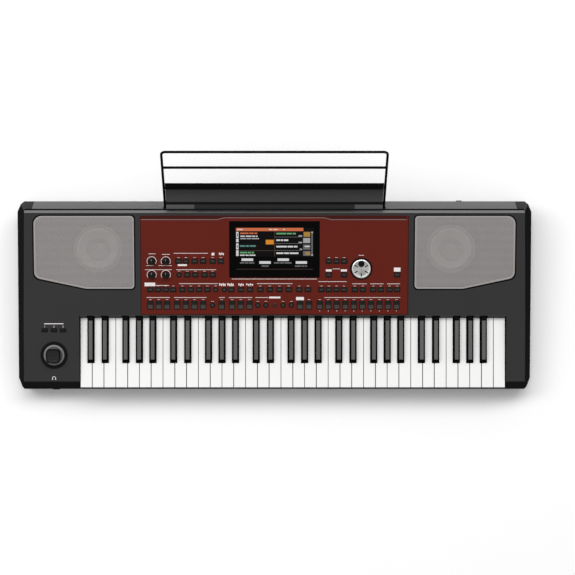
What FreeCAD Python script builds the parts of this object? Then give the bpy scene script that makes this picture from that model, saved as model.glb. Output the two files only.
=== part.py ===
import FreeCAD, Part
import os
import re

import Sketcher

# An arranger keyboard with 61 keys, a tilted control panel, two speakers, a joystick and a music stand.
# X runs to the player's right, Y to the rear and Z up. The origin is the bottom centre of the whole object.
# Depths called _y or _front are measured from the front of the case, heights from the floor.

# Driving sizes in millimetres, degrees and counts
DRIVING = {
    # shells
    "wall": 3.0,
    "top_thickness": 4.5,
    "floor_thickness": 3.0,
    "seat_gap": 0.2,
    "running_gap": 0.05,
    "stop_gap": 0.3,
    "overrun": 6.0,
    # outline of the case
    "left_block": 128.5,
    "right_block": 55.5,
    "foot_height": 6.0,
    "seam_front_drop": 29.0,
    "seam_rear": 57.0,
    "seam_gap": 0.6,
    "side_lean": 21.0,
    "side_lean_height": 70.0,
    "rear_corner_run": 16.0,
    "rear_corner_depth": 20.0,
    "front_corner": 14.8,
    "front_corner_depth": 21.5,
    "front_edge_drop": 8.0,
    "front_bevel_run": 16.0,
    "block_rise": 4.0,
    "knee_y": 147.0,
    "knee_rise": 4.0,
    "panel_tilt": 8.0,
    "ridge_setback": 25.5,
    "ridge_bevel_run": 6.0,
    "ridge_bevel_drop": 4.0,
    "rear_shoulder_height": 75.0,
    "rear_panel_margin": 35.0,
    # posts, screws and feet
    "post_radius": 4.5,
    "post_inset": 27.0,
    "screw_radius": 1.5,
    "screw_length": 14.0,
    "screw_head_radius": 3.2,
    "screw_head_height": 2.2,
    "foot_radius": 12.0,
    # keys
    "white_key_pitch": 23.5,
    "octaves": 5,
    "key_gap": 1.0,
    "key_front": 4.0,
    "key_top": 82.0,
    "key_height": 16.0,
    "key_skin": 3.0,
    "key_side": 2.2,
    "key_lip_depth": 3.0,
    "key_lip_drop": 6.0,
    "key_travel": 10.0,
    "key_tail": 7.0,
    "lever_width": 8.6,
    "lever_setback": 11.0,
    "black_key_width": 12.8,
    "black_top_width": 9.0,
    "black_side_gap": 0.7,
    "black_key_front": 53.0,
    "black_front_slope": 6.0,
    "black_key_rise": 12.0,
    "black_skirt_rise": 2.0,
    "pivot_setback": 68.0,
    "pivot_drop": 10.0,
    "pivot_radius": 2.0,
    # key frame, felts, springs and contacts
    "frame_margin": 0.8,
    "frame_plate": 2.0,
    "front_rail_y": 12.0,
    "front_rail_depth": 16.0,
    "rear_rail_gap": 4.0,
    "rear_rail_depth": 10.0,
    "rib_thickness": 1.6,
    "rib_reach": 10.0,
    "felt_thickness": 3.0,
    "felt_setback": 2.0,
    "spring_thickness": 0.8,
    "spring_finger_width": 6.0,
    "spring_lift": 0.5,
    "contact_reach": 107.0,
    "contact_depth": 24.0,
    "contact_base": 2.0,
    "contact_dome_radius": 4.0,
    "contact_dome_height": 5.0,
    "board_thickness": 1.6,
    # control panel and what is set into it
    "panel_width": 530.0,
    "panel_depth": 197.3,
    "panel_plate": 2.5,
    "panel_proud": 0.5,
    "panel_margin": 2.2,
    "panel_rear_margin": 5.0,
    "panel_ledge": 6.0,
    "panel_boss_radius": 2.5,
    "front_boss_step": 17.35,
    "rear_boss_inset": 13.65,
    "panel_board_drop": 12.0,
    "row_front": 19.1,
    "row_c_step": 31.0,
    "row_b_step": 29.6,
    "row_a_step": 27.1,
    "dial_step": 12.6,
    "board_side_gap": 1.5,
    "glass_side_gap": 10.7,
    "glass_front_gap": 19.45,
    "glass_rear_gap": 11.0,
    "glass_proud": 0.9,
    "glass_corner": 5.0,
    "module_side_inset": 6.8,
    "module_end_inset": 4.0,
    "module_thickness": 9.0,
    "module_room": 4.0,
    # buttons and the switches below them
    "button_spacing": 2.68,
    "button_depth": 9.5,
    "long_button_depth": 17.0,
    "round_trim": 2.0,
    "button_rise": 2.0,
    "button_gap": 0.25,
    "button_flange": 1.0,
    "button_flange_thickness": 2.0,
    "button_travel": 0.6,
    "switch_side": 6.0,
    "switch_height": 4.0,
    "plunger_radius": 1.7,
    "plunger_height": 1.0,
    "assign_width": 12.0,
    "assign_depth": 7.0,
    "assign_pitch": 18.1,
    # knobs and dial
    "knob_radius": 7.0,
    "knob_height": 13.0,
    "knob_lift": 0.8,
    "shaft_radius": 3.0,
    "shaft_engagement": 4.5,
    "pot_side": 11.0,
    "pot_height": 8.0,
    "dial_radius": 19.0,
    "dial_height": 6.5,
    "dimple_radius": 6.0,
    "dimple_offset": 10.0,
    "dimple_depth": 1.4,
    # speakers
    "grille_gap": 12.0,
    "grille_side": 37.5,
    "grille_front": 53.5,
    "grille_slant_rise": 22.0,
    "grille_slant_run": 104.0,
    "grille_thickness": 2.0,
    "grille_proud": 0.6,
    "grille_ledge": 5.0,
    "grille_large_corner": 16.0,
    "grille_small_corner": 7.0,
    "speaker_inset": 72.5,
    "speaker_rear_inset": 66.9,
    "baffle_drop": 12.0,
    "baffle_thickness": 3.0,
    "box_margin": 2.0,
    "box_front_room": 3.6,
    "box_drop": 56.0,
    "speaker_radius": 48.0,
    "basket_rim": 11.0,
    "basket_throat": 18.0,
    "basket_depth": 20.0,
    "basket_wall": 1.5,
    "flange_thickness": 2.5,
    "surround_rim": 7.0,
    "surround_rise": 2.0,
    "surround_width": 6.0,
    "cone_wall": 1.2,
    "whizzer_radius": 23.0,
    "coil_radius": 12.0,
    "magnet_radius": 28.0,
    "magnet_height": 14.0,
    # joystick
    "joystick_inset": 77.0,
    "bezel_radius": 27.0,
    "bezel_rise": 1.2,
    "cup_radius": 25.0,
    "cup_wall": 2.0,
    "cup_drop": 27.0,
    "stick_pivot_drop": 10.0,
    "dome_radius": 20.3,
    "dome_wall": 1.7,
    "dome_edge_angle": 4.0,
    "dome_gap": 0.6,
    "gimbal_radius": 12.0,
    "gimbal_bore": 8.0,
    "gimbal_height": 6.0,
    "trunnion_radius": 1.8,
    "trunnion_reach": 17.0,
    "bearing_start": 13.2,
    "bearing_width": 7.0,
    "bearing_rise": 3.0,
    "hub_radius": 5.0,
    "hub_drop": 4.0,
    "cap_side": 30.0,
    "cap_thickness": 9.0,
    "cap_clear": 3.0,
    "cap_corner": 6.0,
    # boards inside
    "board_lift": 8.0,
    "main_board_width": 300.0,
    "supply_width": 100.0,
    "supply_inset": 135.0,
    "board_front_gap": 16.0,
    "board_rear_gap": 41.0,
    "standoff_radius": 3.0,
    "standoff_inset": 7.0,
    "chip_height": 3.0,
    "coil_height": 24.0,
    # sockets at the rear and front
    "socket_height": 40.0,
    "front_socket_drop": 15.0,
    "jack_side": 15.0,
    "jack_depth": 22.0,
    "jack_bushing_radius": 5.5,
    "jack_bushing_rise": 1.5,
    "jack_bore_radius": 3.25,
    "jack_bore_depth": 20.0,
    "din_side": 19.0,
    "din_depth": 14.0,
    "din_radius": 8.0,
    "din_bore_radius": 6.8,
    "din_bore_depth": 7.0,
    "port_depth": 14.0,
    "port_wall": 1.2,
    "port_cavity_depth": 10.0,
    "square_port_width": 8.6,
    "square_port_height": 8.0,
    "flat_port_width": 12.6,
    "flat_port_height": 5.0,
    "inlet_width": 28.0,
    "inlet_height": 20.0,
    "inlet_depth": 24.0,
    "inlet_wall": 2.5,
    "inlet_cavity_depth": 15.0,
    "power_button_side": 11.0,
    "power_button_rise": 2.8,
    "power_button_depth": 6.0,
    "power_travel": 2.0,
    "power_switch_depth": 14.0,
    # music stand
    "stand_lean": 33.0,
    "stand_setback": 4.0,
    "stand_clear": 3.19,
    "stand_width": 432.0,
    "stand_length": 164.0,
    "stand_bar_v": 114.0,
    "stand_rod_radius": 2.5,
    "stand_plate_length": 62.0,
    "stand_plate_thickness": 1.6,
    "stand_ledge_depth": 15.0,
    "stand_lip_height": 6.0,
    "stand_lip_width": 314.0,
    "stand_leg": 64.0,
    "stand_tube_radius": 4.2,
    "stand_tube_top": 19.0,
    "stand_tube_floor": 2.0,
}

# Shares that set how the panel's width and the left block's depth are divided
BUTTON_PITCH_SHARE = 0.0277
GLASS_SIDE_SHARE = 0.2
JOYSTICK_DEPTH_SHARE = 0.4014
ASSIGN_DEPTH_SHARE = 0.7786

# Sizes that follow from the driving ones
DERIVED = {
    "octave_width": "=7 * white_key_pitch",
    "slot_pitch": "=octave_width / 12",
    "white_keys": "=7 * octaves + 1",
    "keyboard_width": "=white_keys * white_key_pitch",
    "case_width": "=left_block + keyboard_width + right_block",
    "half_width": "=case_width / 2",
    "keyboard_left": "=left_block - half_width",
    "key_bottom": "=key_top - key_height",
    "front_edge_height": "=key_bottom - front_edge_drop",
    "front_block_height": "=key_top + block_rise",
    "knee_height": "=key_top + black_key_rise + knee_rise",
    "seam_front": "=front_edge_height - seam_front_drop",
    "front_socket_height": "=front_edge_height - front_socket_drop",
    "ridge_y": "=knee_y + (panel_margin + panel_depth + panel_rear_margin) * cos(panel_tilt)",
    "case_depth": "=ridge_y + ridge_setback",
    "stand_y": "=case_depth - stand_setback",
    "stand_rear": "=stand_y + stand_length * sin(stand_lean) + stand_rod_radius"
                  " + stand_plate_thickness / 2 * cos(stand_lean)",
    "front_y": "=0 - stand_rear / 2",
    "floor_top": "=foot_height + floor_thickness",
    "block_tilt": "=atan((knee_height - front_block_height) / (knee_y - front_bevel_run))",
    "seam_tilt": "=atan((seam_rear - seam_front) / case_depth)",
    "ridge_height": "=knee_height + (ridge_y - knee_y) * tan(panel_tilt)",
    "stand_height": "=ridge_height + stand_clear",
    "ridge_back_y": "=ridge_y + ridge_bevel_run",
    "ridge_back_height": "=ridge_height - ridge_bevel_drop",
    "rear_fall": "=(ridge_back_height - rear_shoulder_height) / (case_depth - ridge_back_y)",
    "top_depth": "=top_thickness * cos(panel_tilt)",
    "block_depth": "=top_thickness * cos(block_tilt)",
    "block_length": "=(knee_y - front_bevel_run) / cos(block_tilt)",
    "lever_start": "=knee_y + lever_setback",
    "pivot_y": "=knee_y + pivot_setback",
    "pivot_height": "=key_top - pivot_drop",
    "contact_y": "=pivot_y - contact_reach",
    "black_key_rear": "=knee_y - key_gap",
    "key_reach": "=pivot_y - key_front",
    "front_felt_top": "=key_bottom - key_travel * (pivot_y - front_rail_y) / key_reach - stop_gap",
    "contact_top": "=key_bottom - key_travel * (pivot_y - contact_y) / key_reach - stop_gap",
    "contact_board_top": "=contact_top - contact_dome_height - contact_base",
    "rear_rail_y": "=pivot_y + key_tail + rear_rail_gap",
    "spring_base": "=key_top + spring_lift",
    "panel_under": "=panel_plate - panel_proud",
    "row_c": "=row_front + row_c_step",
    "row_b": "=row_c + row_b_step",
    "row_a": "=row_b + row_a_step",
    "dial_row": "=row_b + dial_step",
    "front_boss_row": "=row_front + front_boss_step",
    "rear_boss_row": "=panel_depth - rear_boss_inset",
    "button_width": f"={BUTTON_PITCH_SHARE} * panel_width - button_spacing",
    "round_button_radius": "=(button_width - round_trim) / 2",
    "glass_width": f"=2 * ({GLASS_SIDE_SHARE} * panel_width - button_width / 2 - glass_side_gap)",
    "glass_front": "=row_c + button_depth / 2 + glass_front_gap",
    "glass_depth": "=panel_depth - glass_front - glass_rear_gap",
    "module_width": "=glass_width - 2 * module_side_inset",
    "module_depth": "=glass_depth - 2 * module_end_inset",
    "grille_inner": "=panel_width / 2 + grille_gap",
    "grille_outer": "=half_width - grille_side",
    "grille_rear": "=panel_margin + panel_depth",
    "speaker_x": "=grille_inner + speaker_inset",
    "speaker_v": "=grille_rear - speaker_rear_inset",
    "basket_radius": "=speaker_radius - basket_rim",
    "cone_radius": "=speaker_radius - surround_rim - surround_width",
    "box_front": "=speaker_v - basket_radius - box_front_room",
    "joystick_x": "=half_width - joystick_inset",
    "joystick_v": f"={JOYSTICK_DEPTH_SHARE} * block_length",
    "assign_v": f"={ASSIGN_DEPTH_SHARE} * block_length",
    "supply_x": "=half_width - supply_inset",
    "board_top": "=0 - panel_board_drop",
    "plunger_top": "=board_top + switch_height + plunger_height",
    "button_foot": "=plunger_top + button_travel + seat_gap",
    "button_top": "=panel_proud + button_rise",
    "shaft_foot": "=board_top + pot_height - shaft_engagement",
    "pivot_w": "=0 - stick_pivot_drop",
    "dome_inner": "=dome_radius - dome_wall",
    "cap_base": "=pivot_w + dome_radius + cap_clear",
    "inner_rear": "=case_depth - wall",
    "inner_board_y": "=rear_rail_y + rear_rail_depth + board_front_gap",
    "main_board_depth": "=inner_rear - board_rear_gap - inner_board_y",
    "stand_plane_tilt": "=90 - stand_lean",
}

# Places on the control panel: a row, counted from the rear, and a share of its width from the middle.
# A run of buttons is its first share, the share from one to the next, and how many there are.
ROWS_OF_PANEL = {"a": "row_a", "b": "row_b", "c": "row_c", "d": "row_front"}
BUTTON_RUN_SHARES = {
    "mode_buttons": (
        ("a", "wide", -0.3581, 0.0277, 2), ("a", "wide", -0.2975, 0.0314, 2), ("a", "wide", -0.2303, 0.0303, 2),
        ("b", "round", -0.3562, 0, 1), ("b", "wide", -0.3252, 0.0299, 2), ("b", "wide", -0.2617, 0.0307, 2),
    ),
    "page_buttons": (
        ("a", "wide", 0.2030, 0.0284, 3), ("b", "wide", 0.2030, 0.0568, 2), ("b", "wide", 0.4583, 0, 1),
    ),
    "track_buttons": (
        ("c", "wide", -0.4635, 0.0284, 4), ("c", "wide", -0.3439, 0.0311, 4),
        ("c", "round", -0.2194, 0.0325, 2), ("c", "wide", -0.1615, 0, 1),
    ),
    "screen_buttons": (
        ("c", "wide", -0.1245, 0.0329, 2), ("c", "wide", -0.0527, 0.0355, 4), ("c", "wide", 0.0923, 0.0325, 2),
    ),
    "sound_buttons": (
        ("c", "wide", 0.1753, 0.0282, 4), ("c", "wide", 0.3005, 0.0299, 2),
        ("c", "wide", 0.3689, 0.0284, 2), ("c", "wide", 0.4299, 0.0284, 2),
    ),
    "style_buttons": (
        ("d", "long", -0.4639, 0.0310, 3), ("d", "long", -0.3637, 0.0323, 4),
        ("d", "round", -0.2318, 0, 1), ("d", "long", -0.1977, 0, 1),
    ),
    "tempo_buttons": (
        ("d", "long", -0.1585, 0.0325, 3), ("d", "round", -0.0624, 0.0303, 2),
        ("d", "round", 0.0321, 0.0314, 2), ("d", "long", 0.0953, 0.0336, 2),
    ),
    "registration_buttons": (("d", "long", 0.1693, 0.0319, 10),),
}
KNOB_SHARES = {
    "knob_rear_left": (-0.4583, "a"),
    "knob_rear_right": (-0.4056, "a"),
    "knob_front_left": (-0.4583, "b"),
    "knob_front_right": (-0.4056, "b"),
}
DIAL_SHARE = 0.3237
PANEL_BOSS_SHARES = {"front_boss_row": (-0.479, 0.479), "rear_boss_row": (-0.479, -0.18, 0.18, 0.479)}
# Posts, feet and frame screws, as shares of the case depth and of the keyboard width
POST_ROW_SHARES = (0.10, 0.50, 0.88)
REAR_POST_SHARES = (-0.126, 0.126)
REAR_POST_DEPTH_SHARE = 0.9195
FOOT_SHARES = ((-0.455, 0.085), (0, 0.085), (0.455, 0.085), (-0.455, 0.88), (0, 0.88), (0.455, 0.88))
FRAME_SCREW_SHARES = (0.06, 0.5, 0.94)
# Sockets along the rear panel, as shares of the case width
JACK_SHARES = (-0.36, -0.325, -0.275, -0.24)
DIN_SHARES = (-0.08, -0.05)
SQUARE_PORT_SHARE = 0.0
FLAT_PORT_SHARE = 0.03
INLET_SHARE = 0.31
POWER_SHARE = 0.36

vector = FreeCAD.Vector
doc = FreeCAD.newDocument("ArrangerKeyboard")
sheet = doc.addObject("Spreadsheet::Sheet", "Sizes")
ROWS = {**DRIVING, **DERIVED}
for row, (alias, content) in enumerate(ROWS.items(), start=1):
    sheet.set(f"A{row}", alias)
    sheet.set(f"B{row}", str(content))
    sheet.setAlias(f"B{row}", alias)
doc.recompute()
NAME_PATTERN = re.compile(r"\b(" + "|".join(ROWS) + r")\b")
nodes = []


# Ties between the sheet and the document's objects

def rule(text):
    """Writes a formula of size names as an expression on the sheet."""
    return NAME_PATTERN.sub(r"Sizes.\1", text)


def number(text):
    """The present value of a formula, for the first guess of a sketch."""
    result = sheet.evalExpression(rule(text))
    return float(getattr(result, "Value", result))


def bind(item, field, text):
    item.setExpression(field, rule(text))


def place(item, x="", y="", z=""):
    for axis, text in zip("xyz", (x, y, z)):
        if text:
            bind(item, "Placement.Base." + axis, text)
    return item


def tilt(item, angle, y, z):
    """Turns a finished piece about X and sets it on the sloping face that carries it."""
    item.Placement = FreeCAD.Placement(vector(), FreeCAD.Rotation(vector(1, 0, 0), 1))
    bind(item, "Placement.Rotation.Angle", angle)
    return place(item, "", y, z)


def on_panel(item):
    return tilt(item, "panel_tilt", "front_y + knee_y", "knee_height")


def on_block(item):
    return tilt(item, "block_tilt", "front_y + front_bevel_run", "front_block_height")


def on_seam(item):
    return tilt(item, "seam_tilt", "front_y", "seam_front")


def on_stand(item):
    return tilt(item, "stand_plane_tilt", "front_y + stand_y", "stand_height")


def node(item):
    """Marks a finished piece of the keyboard."""
    nodes.append(item)
    return item


# Primitives and booleans

def box(name, corner, size):
    item = doc.addObject("Part::Box", name)
    for field, text in zip(("Length", "Width", "Height"), size):
        bind(item, field, text)
    return place(item, *corner)


def centred_box(name, centre, base, size):
    """A box with its middle at centre in plan, standing on base."""
    x, y = centre
    width, depth, height = size
    return box(name, (f"{x} - ({width}) / 2", f"{y} - ({depth}) / 2", base), size)


AXIS_TURNS = {"x": (vector(0, 1, 0), 90), "y": (vector(1, 0, 0), -90), "z": (vector(0, 0, 1), 0)}


def rod(name, base, radius, height, axis="z"):
    item = doc.addObject("Part::Cylinder", name)
    bind(item, "Radius", radius)
    bind(item, "Height", height)
    item.Placement = FreeCAD.Placement(vector(), FreeCAD.Rotation(*AXIS_TURNS[axis]))
    return place(item, *base)


def cut(name, base, tool):
    item = doc.addObject("Part::Cut", name)
    item.Base = base
    item.Tool = tool
    return item


def common(name, base, tool):
    item = doc.addObject("Part::Common", name)
    item.Base = base
    item.Tool = tool
    return item


def fuse(name, items):
    item = doc.addObject("Part::MultiFuse", name)
    item.Shapes = items
    return item


def group(name, items):
    item = doc.addObject("Part::Compound", name)
    item.Links = items
    return item


# PartDesign bodies

def new_body(name):
    return doc.addObject("PartDesign::Body", name)


def origin_feature(body, role):
    return next(item for item in body.Origin.OriginFeatures if item.Role == role)


def new_sketch(body, role, offset):
    item = body.newObject("Sketcher::SketchObject", body.Name + "_sketch")
    item.AttachmentSupport = [(origin_feature(body, role), "")]
    item.MapMode = "FlatFace"
    if offset:
        bind(item, "AttachmentOffset.Base.z", offset)
    return item


def pin_point(sketch, geometry, position, x, y):
    """Holds a sketch point at a formula's place, measured from the sketch's origin."""
    for kind, text in (("DistanceX", x), ("DistanceY", y)):
        index = sketch.addConstraint(Sketcher.Constraint(kind, -1, 1, geometry, position, number(text)))
        bind(sketch, f"Constraints[{index}]", text)


def outline(body, role, points, offset=""):
    """A closed outline of straight lines through points given as formulas."""
    sketch = new_sketch(body, role, offset)
    guesses = [vector(number(x), number(y), 0) for x, y in points]
    for start, end in zip(guesses, guesses[1:] + guesses[:1]):
        sketch.addGeometry(Part.LineSegment(start, end), False)
    for index, (x, y) in enumerate(points):
        sketch.addConstraint(Sketcher.Constraint("Coincident", index, 2, (index + 1) % len(points), 1))
        pin_point(sketch, index, 1, x, y)
    return sketch


def ring_outline(body, role, x, y, radius):
    sketch = new_sketch(body, role, "")
    sketch.addGeometry(Part.Circle(vector(number(x), number(y), 0), vector(0, 0, 1), number(radius)), False)
    pin_point(sketch, 0, 3, x, y)
    index = sketch.addConstraint(Sketcher.Constraint("Radius", 0, number(radius)))
    bind(sketch, f"Constraints[{index}]", radius)
    return sketch


def rectangle(left, right, front, rear):
    return ((left, front), (right, front), (right, rear), (left, rear))


def pad(body, sketch, length, both_ways=False):
    item = body.newObject("PartDesign::Pad", body.Name + "_pad")
    item.Profile = sketch
    if both_ways:
        item.SideType = "Symmetric"
    bind(item, "Length", length)
    return item


def pocket(body, sketch, length):
    """A pocket that runs up from a sketch on the underside."""
    item = body.newObject("PartDesign::Pocket", body.Name + "_pocket")
    item.Profile = sketch
    item.Reversed = True
    bind(item, "Length", length)
    return item


def through_bore(body, sketch):
    item = body.newObject("PartDesign::Pocket", body.Name + "_bore")
    item.Profile = sketch
    item.Type = "ThroughAll"
    item.SideType = "Symmetric"
    return item


def prism(name, role, points, start, length, both_ways=False):
    body = new_body(name)
    pad(body, outline(body, role, points, start), length, both_ways)
    return body


def round_corners(body, feature, corners, radius):
    """Rounds the upright edges of a pad that stand nearest to the given corners."""
    doc.recompute()
    edges = feature.Shape.Edges
    upright = [
        index for index, edge in enumerate(edges)
        if abs(edge.tangentAt(edge.FirstParameter).z) > 0.99
    ]
    chosen = []
    for x, y in corners:
        spot = vector(number(x), number(y), 0)

        def distance(index):
            middle = edges[index].CenterOfMass
            return vector(middle.x - spot.x, middle.y - spot.y, 0).Length

        chosen.append("Edge%d" % (min(upright, key=distance) + 1))
    item = body.newObject("PartDesign::Fillet", body.Name + "_round")
    item.Base = (feature, chosen)
    bind(item, "Radius", radius)
    body.Tip = item
    return item


def turned(name, points):
    """A solid turned about Z from a half section of radius and height."""
    body = new_body(name)
    sketch = outline(body, "XZ_Plane", points)
    item = body.newObject("PartDesign::Revolution", name + "_turn")
    item.Profile = sketch
    item.ReferenceAxis = (sketch, ["V_Axis"])
    return body


# The case: one hollow envelope, parted along a sloping seam into a bottom and a top

def envelope(name, inset, section):
    """The case's outer form, or its hollow: a side section, a plan and two leaning ends in common."""
    half = f"half_width - {inset}"
    front = inset
    rear = f"case_depth - {inset}"
    side = prism(name + "_side", "YZ_Plane", section, f"0 - ({half})", f"2 * ({half})")
    place(side, "", "front_y")
    plan_points = (
        (f"front_corner - ({half})", front), (f"{half} - front_corner", front),
        (half, f"{front} + front_corner_depth"), (half, f"{rear} - rear_corner_depth"),
        (f"{half} - rear_corner_run", rear), (f"rear_corner_run - ({half})", rear),
        (f"0 - ({half})", f"{rear} - rear_corner_depth"), (f"0 - ({half})", f"{front} + front_corner_depth"),
    )
    plan = prism(name + "_plan", "XY_Plane", plan_points, "", "ridge_height + overrun")
    place(plan, "", "front_y")
    block = common(name + "_block", side, plan)
    ends = []
    for hand, sign in (("left", "0 - "), ("right", "")):
        lean = (
            (f"{sign}({half})", "0"), (f"{sign}({half} - 2 * side_lean)", "2 * side_lean_height"),
            (f"{sign}({half} + overrun)", "2 * side_lean_height"), (f"{sign}({half} + overrun)", "0"),
        )
        ends.append(on_seam(prism(f"{name}_{hand}_lean", "XZ_Plane", lean, "", "4 * case_depth", True)))
    return cut(name, block, group(name + "_leans", ends))


outer_section = (
    ("0", "foot_height"), ("0", "front_edge_height"), ("front_bevel_run", "front_block_height"),
    ("knee_y", "knee_height"), ("ridge_y", "ridge_height"), ("ridge_back_y", "ridge_back_height"),
    ("case_depth", "rear_shoulder_height"), ("case_depth", "foot_height"),
)
inner_section = (
    ("wall", "floor_top"), ("wall", "front_edge_height - wall"),
    ("front_bevel_run + wall", "front_block_height + wall * tan(block_tilt) - top_thickness"),
    ("knee_y", "knee_height - top_thickness"),
    ("ridge_back_y - wall", "knee_height + (ridge_back_y - wall - knee_y) * tan(panel_tilt) - top_thickness"),
    ("inner_rear", "rear_shoulder_height"), ("inner_rear", "floor_top"),
)
case_outer = envelope("case_outer", "0", outer_section)
case_inner = envelope("case_inner", "wall", inner_section)
case_shell = cut("case_shell", case_outer, case_inner)


def below_seam(name, drop):
    """All the space under the seam, less a drop."""
    corner = ("0 - half_width - overrun", "0 - case_depth / 2", f"0 - case_depth - {drop}")
    space = box(name + "_space", corner, ("case_width + 2 * overrun", "2 * case_depth", "case_depth"))
    return on_seam(group(name, [space]))


def rear_opening(name):
    """The space in the rear wall that the rear panel fills."""
    half = "(half_width - rear_panel_margin)"
    corner = (f"0 - {half}", "front_y + ridge_back_y + seat_gap", "floor_top")
    return box(name, corner, (f"2 * {half}", "case_depth", "ridge_height"))


# Screws and the posts that they draw up

post_places = []
for share in POST_ROW_SHARES:
    for sign in ("0 - ", ""):
        post_places.append((f"{sign}(half_width - post_inset)", f"{share} * case_depth"))
for share in REAR_POST_SHARES:
    post_places.append((f"{share} * case_width", f"{REAR_POST_DEPTH_SHARE} * case_depth"))
frame_screw_places = []
for share in FRAME_SCREW_SHARES:
    for depth in ("front_rail_y + front_rail_depth / 2", "rear_rail_y + rear_rail_depth / 2"):
        frame_screw_places.append((f"keyboard_left + {share} * keyboard_width", depth))
screw_places = post_places + frame_screw_places


def screw_holes(name):
    items = []
    for index, (x, y) in enumerate(screw_places):
        base = (x, f"front_y + {y}", "foot_height - overrun")
        height = "overrun + screw_length + seat_gap"
        items.append(rod(f"{name}_{index}", base, "screw_radius + running_gap", height))
    return group(name, items)


screws = []
for index, (x, y) in enumerate(screw_places):
    y = f"front_y + {y}"
    head = rod(f"screw_head_{index}", (x, y, "foot_height - screw_head_height"),
               "screw_head_radius", "screw_head_height")
    shank = rod(f"screw_shank_{index}", (x, y, "foot_height"), "screw_radius", "screw_length")
    screws.append(fuse(f"screw_{index}", [head, shank]))
node(group("case_screws", screws))

# Bottom case: a tray with standoffs for the boards

standoffs = []
board_fields = (("main", "0", "main_board_width"), ("supply", "supply_x", "supply_width"))
for field, middle, width in board_fields:
    for side in (-1, 1):
        for end in (0, 1):
            x = f"{middle} + {side} * ({width} / 2 - standoff_inset)"
            y = f"front_y + inner_board_y + standoff_inset + {end} * (main_board_depth - 2 * standoff_inset)"
            standoffs.append(rod(f"standoff_{field}_{side}_{end}", (x, y, "floor_top"),
                                 "standoff_radius", "board_lift"))
tray = common("bottom_tray", case_shell, below_seam("bottom_seam", "seam_gap"))
tray = cut("bottom_open", tray, rear_opening("bottom_rear_opening"))
tray = fuse("bottom_filled", [tray] + standoffs)
node(cut("bottom_case", tray, screw_holes("bottom_holes")))

feet = []
for index, (x_share, y_share) in enumerate(FOOT_SHARES):
    base = (f"{x_share} * case_width", f"front_y + {y_share} * case_depth", "0")
    feet.append(rod(f"foot_{index}", base, "foot_radius", "foot_height"))
node(group("rubber_feet", feet))


# Places on the control panel

def panel_x(share):
    return f"({share} * panel_width)"


def panel_v(row):
    return f"(panel_margin + {row})"


def button_places(runs):
    """Each button of a group as its shape and its place on the panel."""
    places = []
    for row_name, shape, first_share, step_share, count in runs:
        for index in range(count):
            places.append((shape, panel_x(f"({first_share} + {index} * {step_share})"),
                           panel_v(ROWS_OF_PANEL[row_name])))
    return places


BUTTON_DEPTHS = {"wide": "button_depth", "long": "long_button_depth"}


def button_block(name, shape, x, v, grow, base, height):
    """A button's outline, grown all round, from base up by height."""
    if shape == "round":
        return rod(name, (x, v, base), f"round_button_radius + {grow}", height)
    size = (f"button_width + 2 * ({grow})", f"{BUTTON_DEPTHS[shape]} + 2 * ({grow})", height)
    return centred_box(name, (x, v), base, size)


panel_buttons = {name: button_places(runs) for name, runs in BUTTON_RUN_SHARES.items()}
knob_places = {
    name: (panel_x(share), panel_v(ROWS_OF_PANEL[row_name])) for name, (share, row_name) in KNOB_SHARES.items()
}
dial_place = (panel_x(DIAL_SHARE), panel_v("dial_row"))


# Speaker field: grille outlines, used for the grilles and for the openings below them

def grille_prism(name, side, inset, base, height):
    inner = f"{side} * (grille_inner + {inset})"
    outer = f"{side} * (grille_outer - {inset})"
    turn = f"{side} * (grille_outer - grille_slant_run)"
    front = f"grille_front + {inset}"
    rear = f"grille_rear - {inset}"
    corner = f"grille_front + grille_slant_rise + {inset}"
    body = new_body(name)
    points = ((inner, front), (turn, front), (outer, corner), (outer, rear), (inner, rear))
    plate = pad(body, outline(body, "XY_Plane", points, base), height)
    plate = round_corners(body, plate, ((outer, rear), (outer, corner)), f"grille_large_corner - {inset}")
    round_corners(body, plate, ((inner, front), (inner, rear)), f"grille_small_corner - {inset} / 2")
    return body


grille_under = "(grille_thickness - grille_proud)"
grilles = []
grille_cuts = []
for hand, side in (("left", "(0 - 1)"), ("right", "1")):
    grilles.append(grille_prism(f"grille_{hand}", side, "seat_gap", f"0 - {grille_under}", "grille_thickness"))
    grille_cuts.append(grille_prism(f"grille_seat_{hand}", side, "0", f"0 - {grille_under}", "overrun"))
    grille_cuts.append(grille_prism(f"grille_hole_{hand}", side, "grille_ledge", "0 - 2 * overrun", "4 * overrun"))
node(on_panel(group("speaker_grilles", grilles)))

# Top case

key_room_left = "keyboard_left - key_gap"
key_room_width = "keyboard_width + 2 * key_gap"
key_room = box("key_room", (key_room_left, "front_y - overrun", "front_edge_height - key_gap"),
               (key_room_width, "knee_y + overrun", "ridge_height"))
cheeks = []
for hand, x in (("left", f"{key_room_left} - wall"), ("right", f"{key_room_left} + {key_room_width}")):
    size = ("wall", "knee_y", "ridge_height")
    slab = box(f"cheek_slab_{hand}", (x, "front_y", "front_edge_height - wall"), size)
    cheeks.append(common(f"cheek_{hand}", case_outer, slab))
posts = []
for index, (x, y) in enumerate(post_places):
    front_post = index < 2
    rise = (f"front_block_height + ({y} - front_bevel_run) * tan(block_tilt)" if front_post
            else f"knee_height + ({y} - knee_y) * tan(panel_tilt)")
    posts.append(rod(f"post_{index}", (x, f"front_y + {y}", "floor_top"), "post_radius",
                     f"{rise} - top_thickness / 2 - floor_top"))
lid = cut("top_lid", case_shell, below_seam("top_seam", "0"))
lid = cut("top_keys_open", lid, key_room)
lid = cut("top_rear_open", lid, rear_opening("top_rear_opening"))
lid = fuse("top_filled", [lid] + cheeks + posts)
panel_half = "(panel_width / 2 + seat_gap)"
panel_seat = box("panel_seat", (f"0 - {panel_half}", "panel_margin - seat_gap", "0 - panel_under"),
                 (f"2 * {panel_half}", "panel_depth + 2 * seat_gap", "overrun"))
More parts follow.
